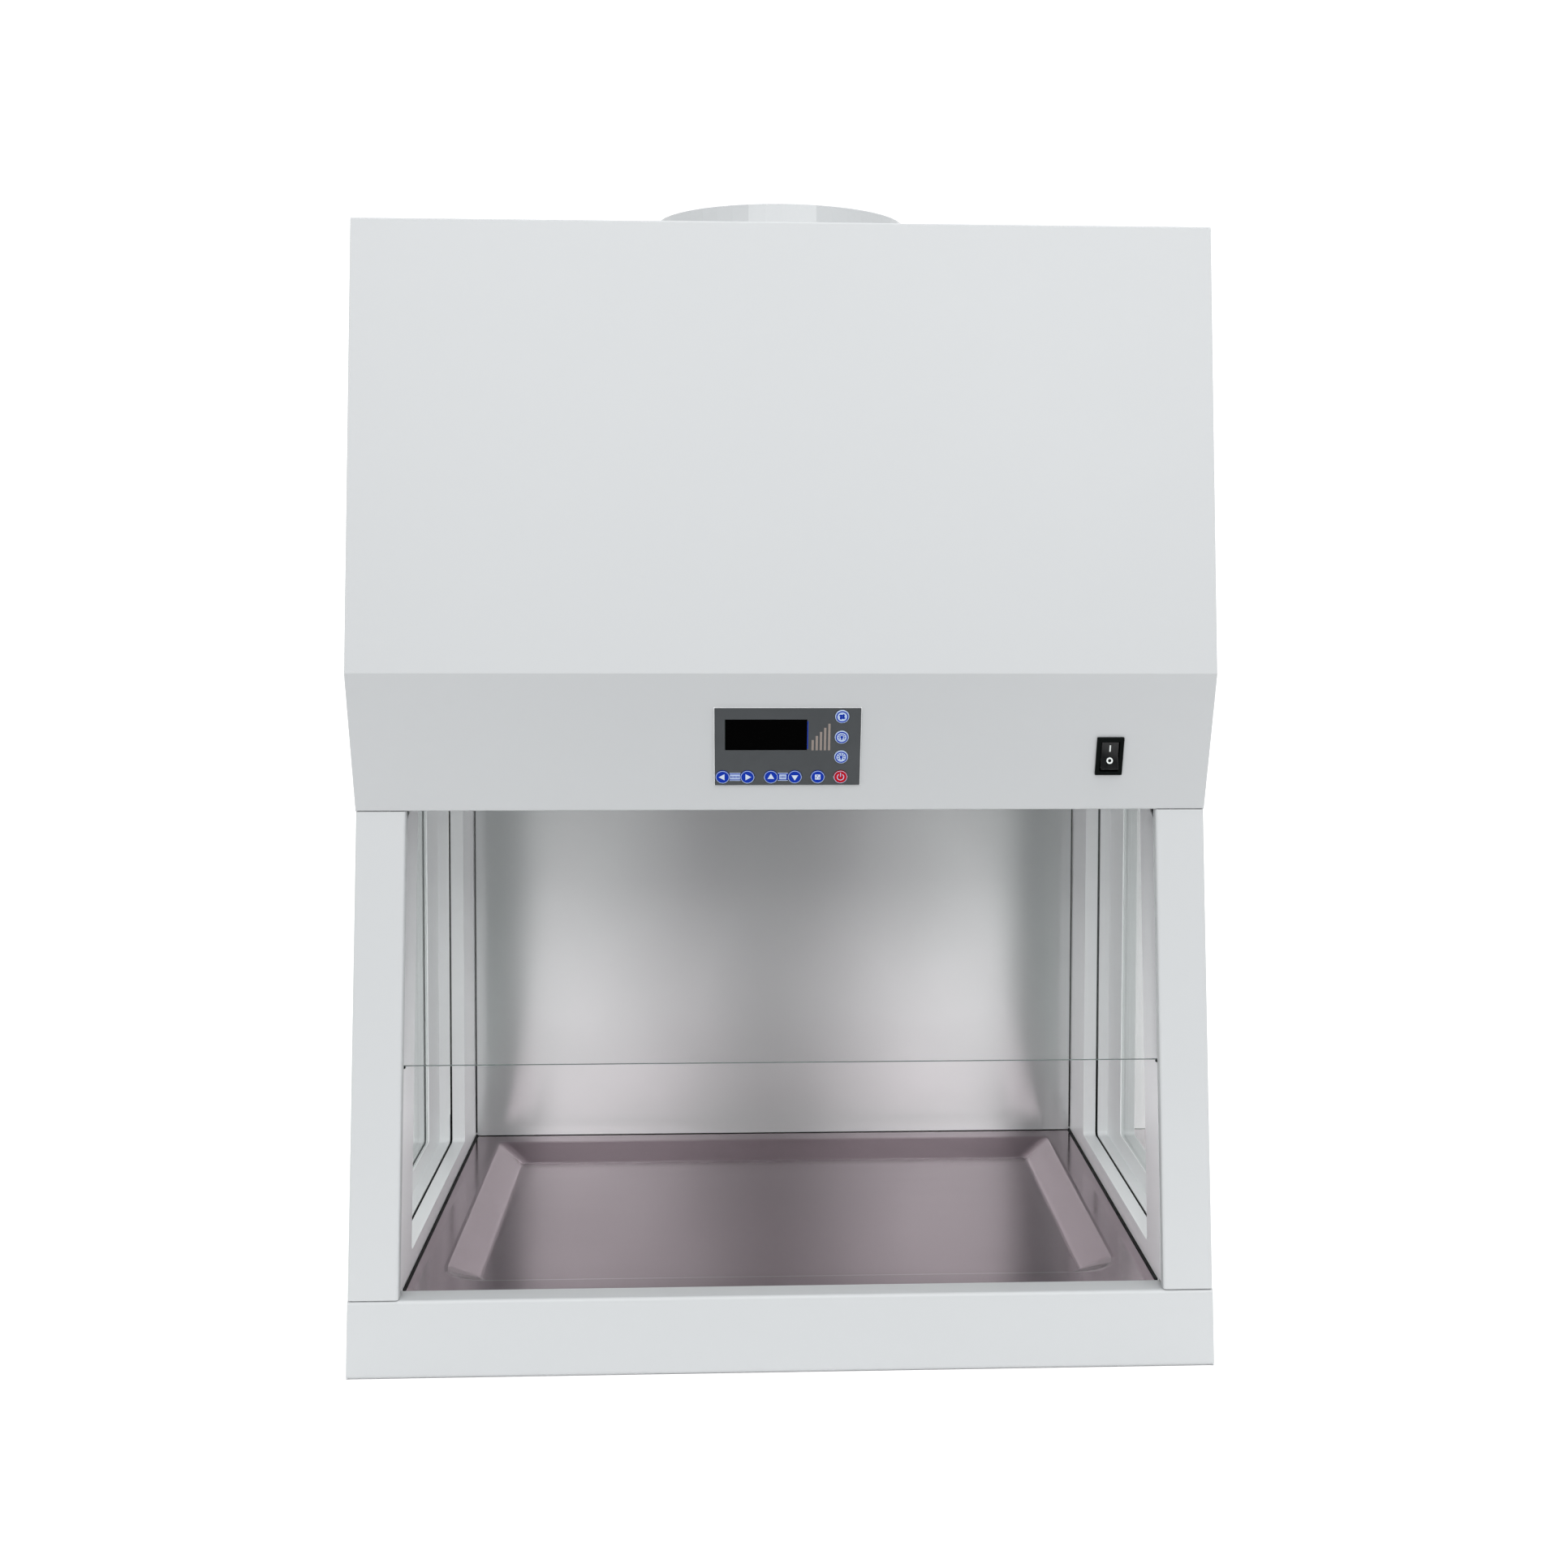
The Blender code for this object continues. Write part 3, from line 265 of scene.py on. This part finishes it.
def gloss_plastic(name, colour, roughness=0.25, gloss=0.4):
    finish = Shader(name, colour, roughness)
    finish.put("Specular IOR Level", gloss)
    finish.tones(finish.noise(120, 2), shade(colour, 0.95), shade(colour, 1.05))
    finish.roughness(finish.noise(200, 2), roughness - 0.04, roughness + 0.06)
    return finish.material


FINISHES = {
    "grey_rubber": moulded("grey_rubber", (0.46, 0.47, 0.47), 0.5),
    "case_paint": powder_coat("case_paint", 0.42),
    "collar_paint": powder_coat("collar_paint", 0.22),
    # Painted light: a much paler copy of the case paint, which stands in for the light on the window returns
    # and the plate's rim.
    "trim_paint": powder_coat("trim_paint", 0.30, (0.84, 0.86, 0.865)),
    "steel_satin": satin_steel("steel_satin", (0.80, 0.80, 0.81), 0.31, 0.35, (0.12, 1, 1)),
    "steel_liner": satin_steel("steel_liner", (0.79, 0.80, 0.81), 0.28, 0.33, (0.12, 1, 1), 1.0, 0.45),
    # The back wall's top factor of 0.88 paints shade on its upper part.
    "steel_wall": satin_steel("steel_wall", (0.68, 0.71, 0.705), 0.31, 0.35, (0.12, 1, 1), 0.88),
    "steel_polished": polished_steel(),
    "galvanised": plain_metal("galvanised", (0.52, 0.54, 0.55), 0.35, 0.50),
    "aluminium": plain_metal("aluminium", (0.66, 0.66, 0.67), 0.28, 0.40),
    "clear_glass": clear_glass("clear_glass", (0.960, 0.965, 0.964), 0.020, 3.2),
    "window_glass": clear_glass("window_glass", (0.88, 0.885, 0.885), 0.025, 2.4),
    "glass_edge": gloss_plastic("glass_edge", (0.11, 0.135, 0.13), 0.15),
    "window_edge": gloss_plastic("window_edge", (0.55, 0.58, 0.58), 0.30),
    "black_rubber": moulded("black_rubber", (0.006, 0.006, 0.0065), 0.62, gloss=0.15),
    # Painted shade: a dead black with no gloss, for the strips that darken the sash slot.
    "slot_shade_black": moulded("slot_shade_black", (0.0015, 0.0015, 0.0015), 0.9, gloss=0.0),
    "black_plastic": moulded("black_plastic", (0.0016, 0.0026, 0.0023), 0.26, gloss=0.03),
    "rocker_plastic": gloss_plastic("rocker_plastic", (0.0018, 0.0024, 0.0026), 0.20, 0.30),
    "mark_pale": gloss_plastic("mark_pale", (0.50, 0.53, 0.52), 0.35, 0.2),
    "panel_film": moulded("panel_film", (0.040, 0.044, 0.047), 0.36, 1500, 0.05, 0.22),
    "display_black": gloss_plastic("display_black", (0.0006, 0.0006, 0.0006), 0.10, 0.006),
    "key_blue": gloss_plastic("key_blue", (0.002, 0.021, 0.245), 0.3, 0.08),
    "key_red": gloss_plastic("key_red", (0.30, 0.001, 0.008), 0.3, 0.08),
    "key_pale": gloss_plastic("key_pale", (0.31, 0.385, 0.52), 0.3, 0.15),
    "board_green": moulded("board_green", (0.02, 0.16, 0.07), 0.40),
    "lamp_white": moulded("lamp_white", (0.86, 0.86, 0.84), 0.35),
    "bar_beige": gloss_plastic("bar_beige", (0.190, 0.162, 0.145), 0.35, 0.15),
    "mark_white": gloss_plastic("mark_white", (0.40, 0.45, 0.54), 0.35, 0.2),
    "pin_brass": plain_metal("pin_brass", (0.60, 0.48, 0.24), 0.22, 0.34),
}


def soften(obj, width):
    """Breaks the sharp sheet edges of a CAD node, as folding and coating do."""
    obj.data.shade_smooth()
    weld = obj.modifiers.new("weld", "WELD")
    weld.merge_threshold = 0.00002
    bevel = obj.modifiers.new("edge", "BEVEL")
    bevel.width, bevel.segments = width, 2
    bevel.limit_method, bevel.angle_limit = "ANGLE", math.radians(40)
    normal = obj.modifiers.new("normals", "WEIGHTED_NORMAL")
    normal.keep_sharp = False


def dress_cad():
    slots = {entry["node"]: entry["material_slot"] for entry in frame["record"]["subparts"]}
    for name, obj in nodes.items():
        obj.data.materials.clear()
        obj.data.materials.append(FINISHES[slots[name]])
    nodes["exhaust_collar"].data.materials[0] = FINISHES["collar_paint"]
    nodes["switch_rocker"].data.materials[0] = FINISHES["rocker_plastic"]
    nodes["back_liner"].data.materials[0] = FINISHES["steel_wall"]
    for side in ("left", "right"):
        liner = nodes["side_liner_" + side].data
        liner.materials[0] = FINISHES["steel_liner"]
        liner.materials.append(FINISHES["trim_paint"])
        for face in liner.polygons:
            # The returns of the window opening get the pale trim paint, as bright as the frame: painted
            # light, standing in for the light from the front. The wall is satin.
            if abs(face.normal.x) < 0.5 and abs(face.center.x) > WALL_X + 0.0002:
                face.material_index = 1
    for name in ("sash_glass", "side_glass_left", "side_glass_right"):
        obj = nodes[name]
        edge = "glass_edge"
        if name != "sash_glass":
            obj.data.materials[0] = FINISHES["window_glass"]
            edge = "window_edge"
        obj.data.materials.append(FINISHES[edge])
        faces = obj.data.polygons
        widest = max(faces, key=lambda face: face.area).normal
        for face in faces:
            face.material_index = 0 if abs(face.normal.dot(widest)) > 0.9 else 1


dress_cad()


# ---------------------------------------------------------------- piece builders
def piece(name, bm, finish, body, matrix=None, smooth=False):
    """A visual piece of one finish that rides on a CAD body."""
    bmesh.ops.recalc_face_normals(bm, faces=bm.faces)
    mesh = bpy.data.meshes.new(name)
    bm.to_mesh(mesh)
    bm.free()
    if matrix is not None:
        mesh.transform(matrix)
    mesh.materials.append(FINISHES[finish])
    if smooth:
        mesh.shade_smooth()
        mesh.set_sharp_from_angle(angle=math.radians(35))
    obj = bpy.data.objects.new(name, mesh)
    bpy.context.scene.collection.objects.link(obj)
    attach(obj, body)
    return obj


def prism(bm, outline, low, high):
    """Adds a closed prism on an XY outline, with slightly drawn-in top edges."""
    centre = Vector((sum(x for x, _ in outline), sum(y for _, y in outline))) / len(outline)
    rows = []
    for z, shrink in ((low, 0.0), (low + (high - low) * 0.6, 0.0), (high, 0.00006)):
        row = []
        for point in outline:
            point = Vector(point)
            inward = (centre - point).normalized() * shrink
            row.append(bm.verts.new((*(point + inward), z)))
        rows.append(row)
    bm.faces.new(rows[0])
    bm.faces.new(rows[-1])
    for a, b in zip(rows, rows[1:]):
        for i in range(len(a)):
            j = (i + 1) % len(a)
            bm.faces.new((a[i], a[j], b[j], b[i]))


def ring(bm, centre, inner, outer, low, high, start=0.0, sweep=360.0, steps=48):
    """Adds a flat ring, or a part of one with closed ends; angles are in degrees."""
    whole = sweep >= 360.0
    count = steps if whole else steps + 1
    rows = []
    for k in range(count):
        angle = math.radians(start + sweep * k / steps)
        direction = Vector((math.cos(angle), math.sin(angle)))
        rows.append([
            bm.verts.new((centre[0] + direction.x * r, centre[1] + direction.y * r, z))
            for r, z in ((inner, low), (outer, low), (outer, high), (inner, high))
        ])
    pairs = list(zip(rows, rows[1:]))
    if whole:
        pairs.append((rows[-1], rows[0]))
    else:
        bm.faces.new(rows[0])
        bm.faces.new(rows[-1])
    for a, b in pairs:
        for i in range(4):
            j = (i + 1) % 4
            bm.faces.new((a[i], a[j], b[j], b[i]))


def disc(bm, centre, radius, low, high, steps=32):
    prism(bm, round_outline(centre, radius, steps), low, high)


def round_outline(centre, radius, steps):
    step = 2 * math.pi / steps
    return [
        (centre[0] + radius * math.cos(k * step), centre[1] + radius * math.sin(k * step))
        for k in range(steps)
    ]


def oblong(centre, width, height):
    x, y = centre
    return [
        (x - width / 2, y - height / 2), (x + width / 2, y - height / 2),
        (x + width / 2, y + height / 2), (x - width / 2, y + height / 2),
    ]


def turned_bar(centre, angle, start, end, width):
    """A thin bar's outline, running out from a centre between two radii."""
    out = Vector((math.cos(angle), math.sin(angle)))
    side = Vector((-out.y, out.x)) * width / 2
    a, b = Vector(centre) + out * start, Vector(centre) + out * end
    return [tuple(a - side), tuple(b - side), tuple(b + side), tuple(a + side)]


# ---------------------------------------------------------------- control plate graphics
PRINT = 0.00012  # thickness of the printed and domed graphics
ON_KEY = (KEY_TOP, KEY_TOP + PRINT)
ON_PLATE = (PLATE_TOP, PLATE_TOP + PRINT)


def key_print(key, part, finish, add):
    """One coloured layer of a key's face; `add` fills a bmesh around the key's centre."""
    bm = bmesh.new()
    add(bm, KEY_PLACES[key])
    piece(f"{key}_{part}", bm, finish, key, BAND)


def pinwheel(bm, centre):
    for k in range(4):
        turn = math.radians(45 + 90 * k)
        hub = Vector(centre) + Vector((math.cos(turn), math.sin(turn))) * 0.0020
        outline = []
        for step in range(16):
            angle = 2 * math.pi * step / 16
            local = Vector((0.0021 * math.cos(angle), 0.0014 * math.sin(angle)))
            local.rotate(Matrix.Rotation(turn + 0.7, 2))
            outline.append(tuple(hub + local))
        prism(bm, outline, *ON_KEY)


def bulb(bm, centre, rays, reach):
    x, y = centre
    disc(bm, (x, y + 0.0004), 0.00165, *ON_KEY, 20)
    prism(bm, oblong((x, y - 0.0020), 0.0016, 0.0024), *ON_KEY)
    for k in range(rays):
        angle = math.radians(-30 + 240 * k / (rays - 1))
        prism(bm, turned_bar((x, y + 0.0002), angle, 0.0025, reach, 0.00085), *ON_KEY)


def pale_keys():
    icons = {
        "key_fan": pinwheel,
        "key_light": lambda bm, centre: bulb(bm, centre, 9, 0.0044),
        "key_uv": lambda bm, centre: bulb(bm, centre, 7, 0.0048),
    }
    for key, icon in icons.items():
        key_print(key, "ring", "key_blue", lambda bm, c: ring(bm, c, 0.0057, 0.0071, *ON_KEY))
        key_print(key, "icon", "key_blue", icon)


def triangle(centre, angle, size):
    points = []
    for k in range(3):
        turn = math.radians(angle + 120 * k)
        points.append((centre[0] + size * math.cos(turn), centre[1] + size * math.sin(turn)))
    return points


def coloured_keys():
    arrows = {"key_sash_up": 90, "key_sash_down": -90, "key_speed_up": 0, "key_speed_down": 180}
    for key in ("key_power", "key_socket", "key_sash_down", "key_sash_up", "key_speed_up", "key_speed_down"):
        key_print(key, "rim", "key_pale", lambda bm, c: ring(bm, c, 0.0073, KEY_R - 0.0003, *ON_KEY))
    for key, angle in arrows.items():
        key_print(key, "arrow", "mark_white", lambda bm, c: prism(bm, triangle(c, angle, 0.0045), *ON_KEY))

    def power(bm, centre):
        ring(bm, centre, 0.0034, 0.0043, *ON_KEY, 122, 296, 32)
        prism(bm, oblong((centre[0], centre[1] + 0.0029), 0.0009, 0.0054), *ON_KEY)

    key_print("key_power", "symbol", "key_pale", power)
    def square(bm, centre):
        prism(bm, oblong(centre, 0.0064, 0.0064), *ON_KEY)

    key_print("key_socket", "square", "mark_white", square)

    def dots(bm, centre):
        for dx, dy in ((-0.0004, 0.0016), (-0.0016, -0.0008), (0.0016, -0.0011)):
            disc(bm, (centre[0] + dx, centre[1] + dy), 0.00078, KEY_TOP, KEY_TOP + 2 * PRINT, 12)

    key_print("key_socket", "dots", "key_blue", dots)


def link_bars():
    """The printed bars that join each pair of arrow keys, with a plain label field between."""
    pairs = (
        ("sash", "key_sash_up", "key_sash_down", 0.0082, 5),
        ("speed", "key_speed_down", "key_speed_up", 0.0130, 9),
    )
    for name, left, right, field, marks in pairs:
        x0, x1 = KEY_PLACES[left][0] + KEY_R, KEY_PLACES[right][0] - KEY_R
        centre = ((x0 + x1) / 2, KEY_ROW)
        length = x1 - x0 + 0.0002
        layers = (
            ("edge", length, 0.0100, "key_pale"),
            ("bar", length, 0.0084, "key_blue"),
            ("field", min(field, length - 0.0010), 0.0062, "key_pale"),
        )
        for lift, (part, width, height, finish) in enumerate(layers, 1):
            bm = bmesh.new()
            prism(bm, oblong(centre, width, height), PLATE_TOP, PLATE_TOP + PRINT * lift)
            piece(f"link_{name}_{part}", bm, finish, "hood", BAND)
        bm = bmesh.new()
        for k in range(marks):
            across = (k - (marks - 1) / 2) * 0.00125
            mark = oblong((centre[0] + across, centre[1]), 0.00062, 0.0030)
            prism(bm, mark, PLATE_TOP, PLATE_TOP + 4 * PRINT)
        piece(f"link_{name}_marks", bm, "key_blue", "hood", BAND)


def plate_edge_highlight():
    """A raised rim round the control plate's seat in the pale trim paint: a painted highlight along the
    plate's edge.
    """
    bm = bmesh.new()
    x, y = PLATE_CENTRE
    half_w, half_h = PLATE_WIDTH / 2, PLATE_HEIGHT / 2
    wide, proud = 0.0006, 0.0004
    for side in (-1, 1):
        prism(bm, oblong((x + side * (half_w + wide / 2), y), wide, 2 * (half_h + wide)), 0.0, proud)
        prism(bm, oblong((x, y + side * (half_h + wide / 2)), 2 * half_w, wide), 0.0, proud)
    piece("plate_edge_highlight", bm, "trim_paint", "hood", BAND)


def level_bars():
    """Five bars that rise to the right, beside the display and the blue line at its edge."""
    foot, first, pitch, width = -0.0953, 0.0325, 0.0048, 0.0026
    bm = bmesh.new()
    for k, height in enumerate((0.0130, 0.0182, 0.0233, 0.0285, 0.0337)):
        prism(bm, oblong((first + pitch * k, foot + height / 2), width, height), *ON_PLATE)
    piece("level_bars", bm, "bar_beige", "hood", BAND)
    line_centre, line_width, line_height = (0.0267, -0.0760), 0.0011, 0.0352
    bm = bmesh.new()
    prism(bm, oblong(line_centre, line_width, line_height), *ON_PLATE)
    piece("display_edge", bm, "key_blue", "hood", BAND)


pale_keys()
coloured_keys()
link_bars()
plate_edge_highlight()
level_bars()


# ---------------------------------------------------------------- rocker marks
def rocker_marks():
    """The I and O marks, printed on the two halves of the rocker's face."""
    tilt = math.radians(11.0)
    pivot_depth, face_height, half_length = 0.0045, 0.0075, 0.0168
    rise = half_length * math.tan(tilt)
    pivot = Matrix.Translation((*SWITCH_PLACE, -pivot_depth)) @ Matrix.Rotation(-tilt, 4, "X")
    middle, end = face_height - rise * 0.35, face_height + rise * 0.5
    slope = math.atan2(end - middle, half_length)
    for name, side in (("on", 1), ("off", -1)):
        face = Matrix.Translation((0, 0, middle)) @ Matrix.Rotation(side * slope, 4, "X")
        bm = bmesh.new()
        if name == "on":
            prism(bm, oblong((0, 0.0087), 0.0016, 0.0080), 0.0, PRINT)
        else:
            ring(bm, (0, -0.0062), 0.0020, 0.0038, 0.0, PRINT)
        piece(f"rocker_mark_{name}", bm, "mark_pale", "rocker", BAND @ pivot @ face)


rocker_marks()


# ---------------------------------------------------------------- seals, screws, small parts
def corner_beads():
    """Sealant up the two rear corners of the work chamber."""
    for side, word in ((-1, "left"), (1, "right")):
        x, y = side * (WALL_X - 0.0001), BACK_WALL_Y - 0.0001
        section = [(x, y), (x - side * 0.0017, y), (x - side * 0.0010, y - 0.0005),
                   (x - side * 0.0005, y - 0.0010), (x, y - 0.0018)]
        bm = bmesh.new()
        prism(bm, section, TRAY_Z + 0.0052, 0.7130)
        piece(f"corner_bead_{word}", bm, "black_rubber", "hood")


def screw(name, place, direction, radius=0.0040):
    """A button head with a hexagon socket, its axis along `direction`."""
    bm = bmesh.new()
    steps, flat, depth = 24, 0.34, 0.22
    rows = []
    for r, z in [(1.0, 0.0), (1.0, 0.18), (0.94, 0.36), (0.78, 0.52), (0.56, 0.62)]:
        rows.append([bm.verts.new((px * radius, py * radius, z * radius))
                     for px, py in round_outline((0, 0), r, steps)])
    for z in (0.64, depth):
        row = []
        for k in range(steps):
            angle = 2 * math.pi * k / steps
            r = flat / math.cos(angle % (math.pi / 3) - math.pi / 6)
            row.append(bm.verts.new((r * math.cos(angle) * radius, r * math.sin(angle) * radius, z * radius)))
        rows.append(row)
    for a, b in zip(rows, rows[1:]):
        for i in range(steps):
            j = (i + 1) % steps
            bm.faces.new((a[i], a[j], b[j], b[i]))
    bm.faces.new(rows[0])
    bm.faces.new(rows[-1])
    matrix = Vector(direction).to_track_quat("Z", "Y").to_matrix().to_4x4()
    matrix.translation = Vector(place)
    piece(name, bm, "aluminium", "hood", matrix, smooth=True)


def screws():
    rear = [(x, z) for x in (-0.470, 0.470) for z in (0.125, 0.515, 0.905, 1.290)]
    rear += [(x, z) for x in (-0.160, 0.160) for z in (0.110, 1.305)]
    for k, (x, z) in enumerate(rear):
        screw(f"rear_screw_{k}", (x, REAR_Y, z), (0, 1, 0))
    for k in range(8):
        angle = math.radians(22.5 + 45 * k)
        radius = COLLAR_R + 0.0100
        place = (radius * math.cos(angle), radius * math.sin(angle), ROOF_Z + 0.0034)
        screw(f"collar_screw_{k}", place, (0, 0, 1), 0.0035)


def inlet_pins():
    """Three contact blades inside the mains inlet on the rear cover."""
    x, z = INLET_PLACE
    socket_floor, length = REAR_Y - 0.0178, 0.0150
    for k, (dx, dz) in enumerate(((-0.0065, -0.0015), (0.0065, -0.0015), (0.0, 0.0025))):
        bm = bmesh.new()
        prism(bm, oblong((0, 0), 0.0020, 0.0042), 0.0, length)
        place = Matrix.Translation((x + dx, socket_floor, z + dz))
        piece(f"inlet_pin_{k}", bm, "pin_brass", "hood", place @ Matrix.Rotation(-math.pi / 2, 4, "X"))


def slot_shade_strips():
    """Black strips behind the liners, at the top of the slot that the sash runs in: painted shade that
    darkens the slot's mouth.
    """
    outline = [(-0.2708, 0.6262), (-0.2500, 0.6262), (-0.2420, 0.6400), (-0.2420, 0.6640), (-0.2662, 0.6640)]
    for side, word in ((-1, "left"), (1, "right")):
        bm = bmesh.new()
        prism(bm, outline, 0.0, 0.0012)
        turn = Matrix(((0, 0, side, 0), (1, 0, 0, 0), (0, 1, 0, 0), (0, 0, 0, 1)))
        matrix = Matrix.Translation((side * (WALL_X + 0.0018), 0, 0)) @ turn
        piece(f"slot_shade_strip_{word}", bm, "slot_shade_black", "hood", matrix)


corner_beads()
slot_shade_strips()
screws()
inlet_pins()

SOFT_EDGES = {
    "front_cover": 0.0007, "post_left": 0.0006, "post_right": 0.0006, "base_front": 0.0006,
    "base_left": 0.0005, "base_right": 0.0005, "base_rear": 0.0005, "side_panel_left": 0.0005,
    "side_panel_right": 0.0005, "roof_panel": 0.0005, "control_plate": 0.0003,
    "switch_rocker": 0.0010, "switch_housing": 0.0004,
}
for node, width in SOFT_EDGES.items():
    soften(nodes[node], width)


# ---------------------------------------------------------------- camera
def camera():
    place = Vector((-0.0480, -2.4731, 0.9214))
    yaw, pitch, roll = (math.radians(a) for a in (2.582, 2.630, 0.160))
    forward = Vector((math.sin(yaw) * math.cos(pitch), math.cos(yaw) * math.cos(pitch), -math.sin(pitch)))
    right = Vector((math.cos(yaw), -math.sin(yaw), 0))
    up = right.cross(forward)
    x = right * math.cos(roll) + up * math.sin(roll)
    y = up * math.cos(roll) - right * math.sin(roll)
    matrix = Matrix((x, y, -forward)).transposed().to_4x4()
    matrix.translation = place
    data = bpy.data.cameras.new("camera")
    data.sensor_width = 36.0
    data.lens = 42.64
    data.shift_x, data.shift_y = -0.0274, -0.0807
    obj = bpy.data.objects.new("camera", data)
    obj.matrix_world = matrix
    bpy.context.scene.collection.objects.link(obj)
    bpy.context.scene.camera = obj


# ---------------------------------------------------------------- light and floor
def area_light(name, place, target, size, power):
    data = bpy.data.lights.new(name, "AREA")
    data.shape = "RECTANGLE"
    data.size, data.size_y = size
    data.energy = power
    obj = bpy.data.objects.new(name, data)
    obj.location = place
    obj.rotation_euler = (Vector(target) - Vector(place)).to_track_quat("-Z", "Y").to_euler()
    bpy.context.scene.collection.objects.link(obj)


def reflected_only(tree, amount):
    """The amount where a reflected or bounced ray arrives, and 0 where the camera looks."""
    camera_ray = tree.nodes.new("ShaderNodeLightPath").outputs["Is Camera Ray"]
    return join(tree, "MULTIPLY", amount, ramp(tree, camera_ray, 0.0, 1.0, 1.0, 0.0))


def two_tones(tree, amount, plain, dim, target):
    """Puts the plain colour on the target, and the dim one where reflections meet the amount."""
    mix = tree.nodes.new("ShaderNodeMix")
    mix.data_type = "RGBA"
    mix.inputs["A"].default_value = (*plain, 1.0)
    mix.inputs["B"].default_value = (*dim, 1.0)
    tree.links.new(reflected_only(tree, amount), mix.inputs["Factor"])
    tree.links.new(mix.outputs["Result"], target)


def surroundings():
    """White all round. Reflections also meet a dim room and a figure in front of the hood."""
    world = bpy.data.worlds.new("studio")
    world.use_nodes = True
    tree = world.node_tree
    background = tree.nodes["Background"]
    background.inputs["Strength"].default_value = 1.5
    x, y, z = axes(tree, tree.nodes.new("ShaderNodeTexCoord").outputs["Generated"])
    low = ramp(tree, z, 0.06, 0.34, 1.0, 0.0)
    room = join(tree, "MULTIPLY", strip(tree, x, -0.13, -0.03, 0.04, 0.15), low)
    figure = strip(tree, x, -0.07, -0.02, 0.05, 0.11)
    dim = join(tree, "MULTIPLY", join(tree, "MAXIMUM", room, figure), ramp(tree, y, -0.3, -0.6))
    two_tones(tree, dim, (1.0, 1.0, 1.0), (0.02, 0.018, 0.02), background.inputs["Color"])
    bpy.context.scene.world = world
    bpy.context.scene.view_settings.view_transform = "Standard"


def studio():
    """A pale floor and lights above and in front; the floor carries painted shade that only reflections see,
    dimmer further in front.
    """
    pale = (0.94, 0.94, 0.94)
    floor = Shader("floor", pale, 0.6)
    tree = floor.tree
    x, y, _ = axes(tree, floor.place)
    # Painted shade for reflections: the floor dims further in front, and in a strip straight ahead of the
    # hood.
    far = ramp(tree, y, -0.85, -2.8)
    ahead = ramp(tree, y, -0.75, -1.35)
    middle = join(tree, "MULTIPLY", strip(tree, x, -0.40, -0.12, 0.20, 0.50), ahead)
    dim = join(tree, "MAXIMUM", far, middle)
    two_tones(tree, dim, pale, (0.10, 0.092, 0.097), floor.main.inputs["Base Color"])
    mesh = bpy.data.meshes.new("floor")
    reach, drop = 14.0, -0.0001
    corners = [(x * reach, y * reach, drop) for x, y in ((-1, -1), (1, -1), (1, 1), (-1, 1))]
    mesh.from_pydata(corners, [], [(0, 1, 2, 3)])
    mesh.materials.append(floor.material)
    obj = bpy.data.objects.new("floor", mesh)
    bpy.context.scene.collection.objects.link(obj)

    # The lights stand in pairs, with a gap between them that the brushed steel shows as a dim upright band.
    for side, start, end in (("left", -1.50, -0.12), ("right", 0.22, 1.85)):
        middle, width = (start + end) / 2, end - start
        area_light(f"key_{side}", (middle, -2.2, 3.6), (middle, -0.3, 0.6), (width, 2.0), 23.5 * width)
        area_light(f"fill_{side}", (middle, -3.4, 2.1), (middle, 0, 0.4), (width, 1.0), 11.3 * width)


camera()
surroundings()
studio()
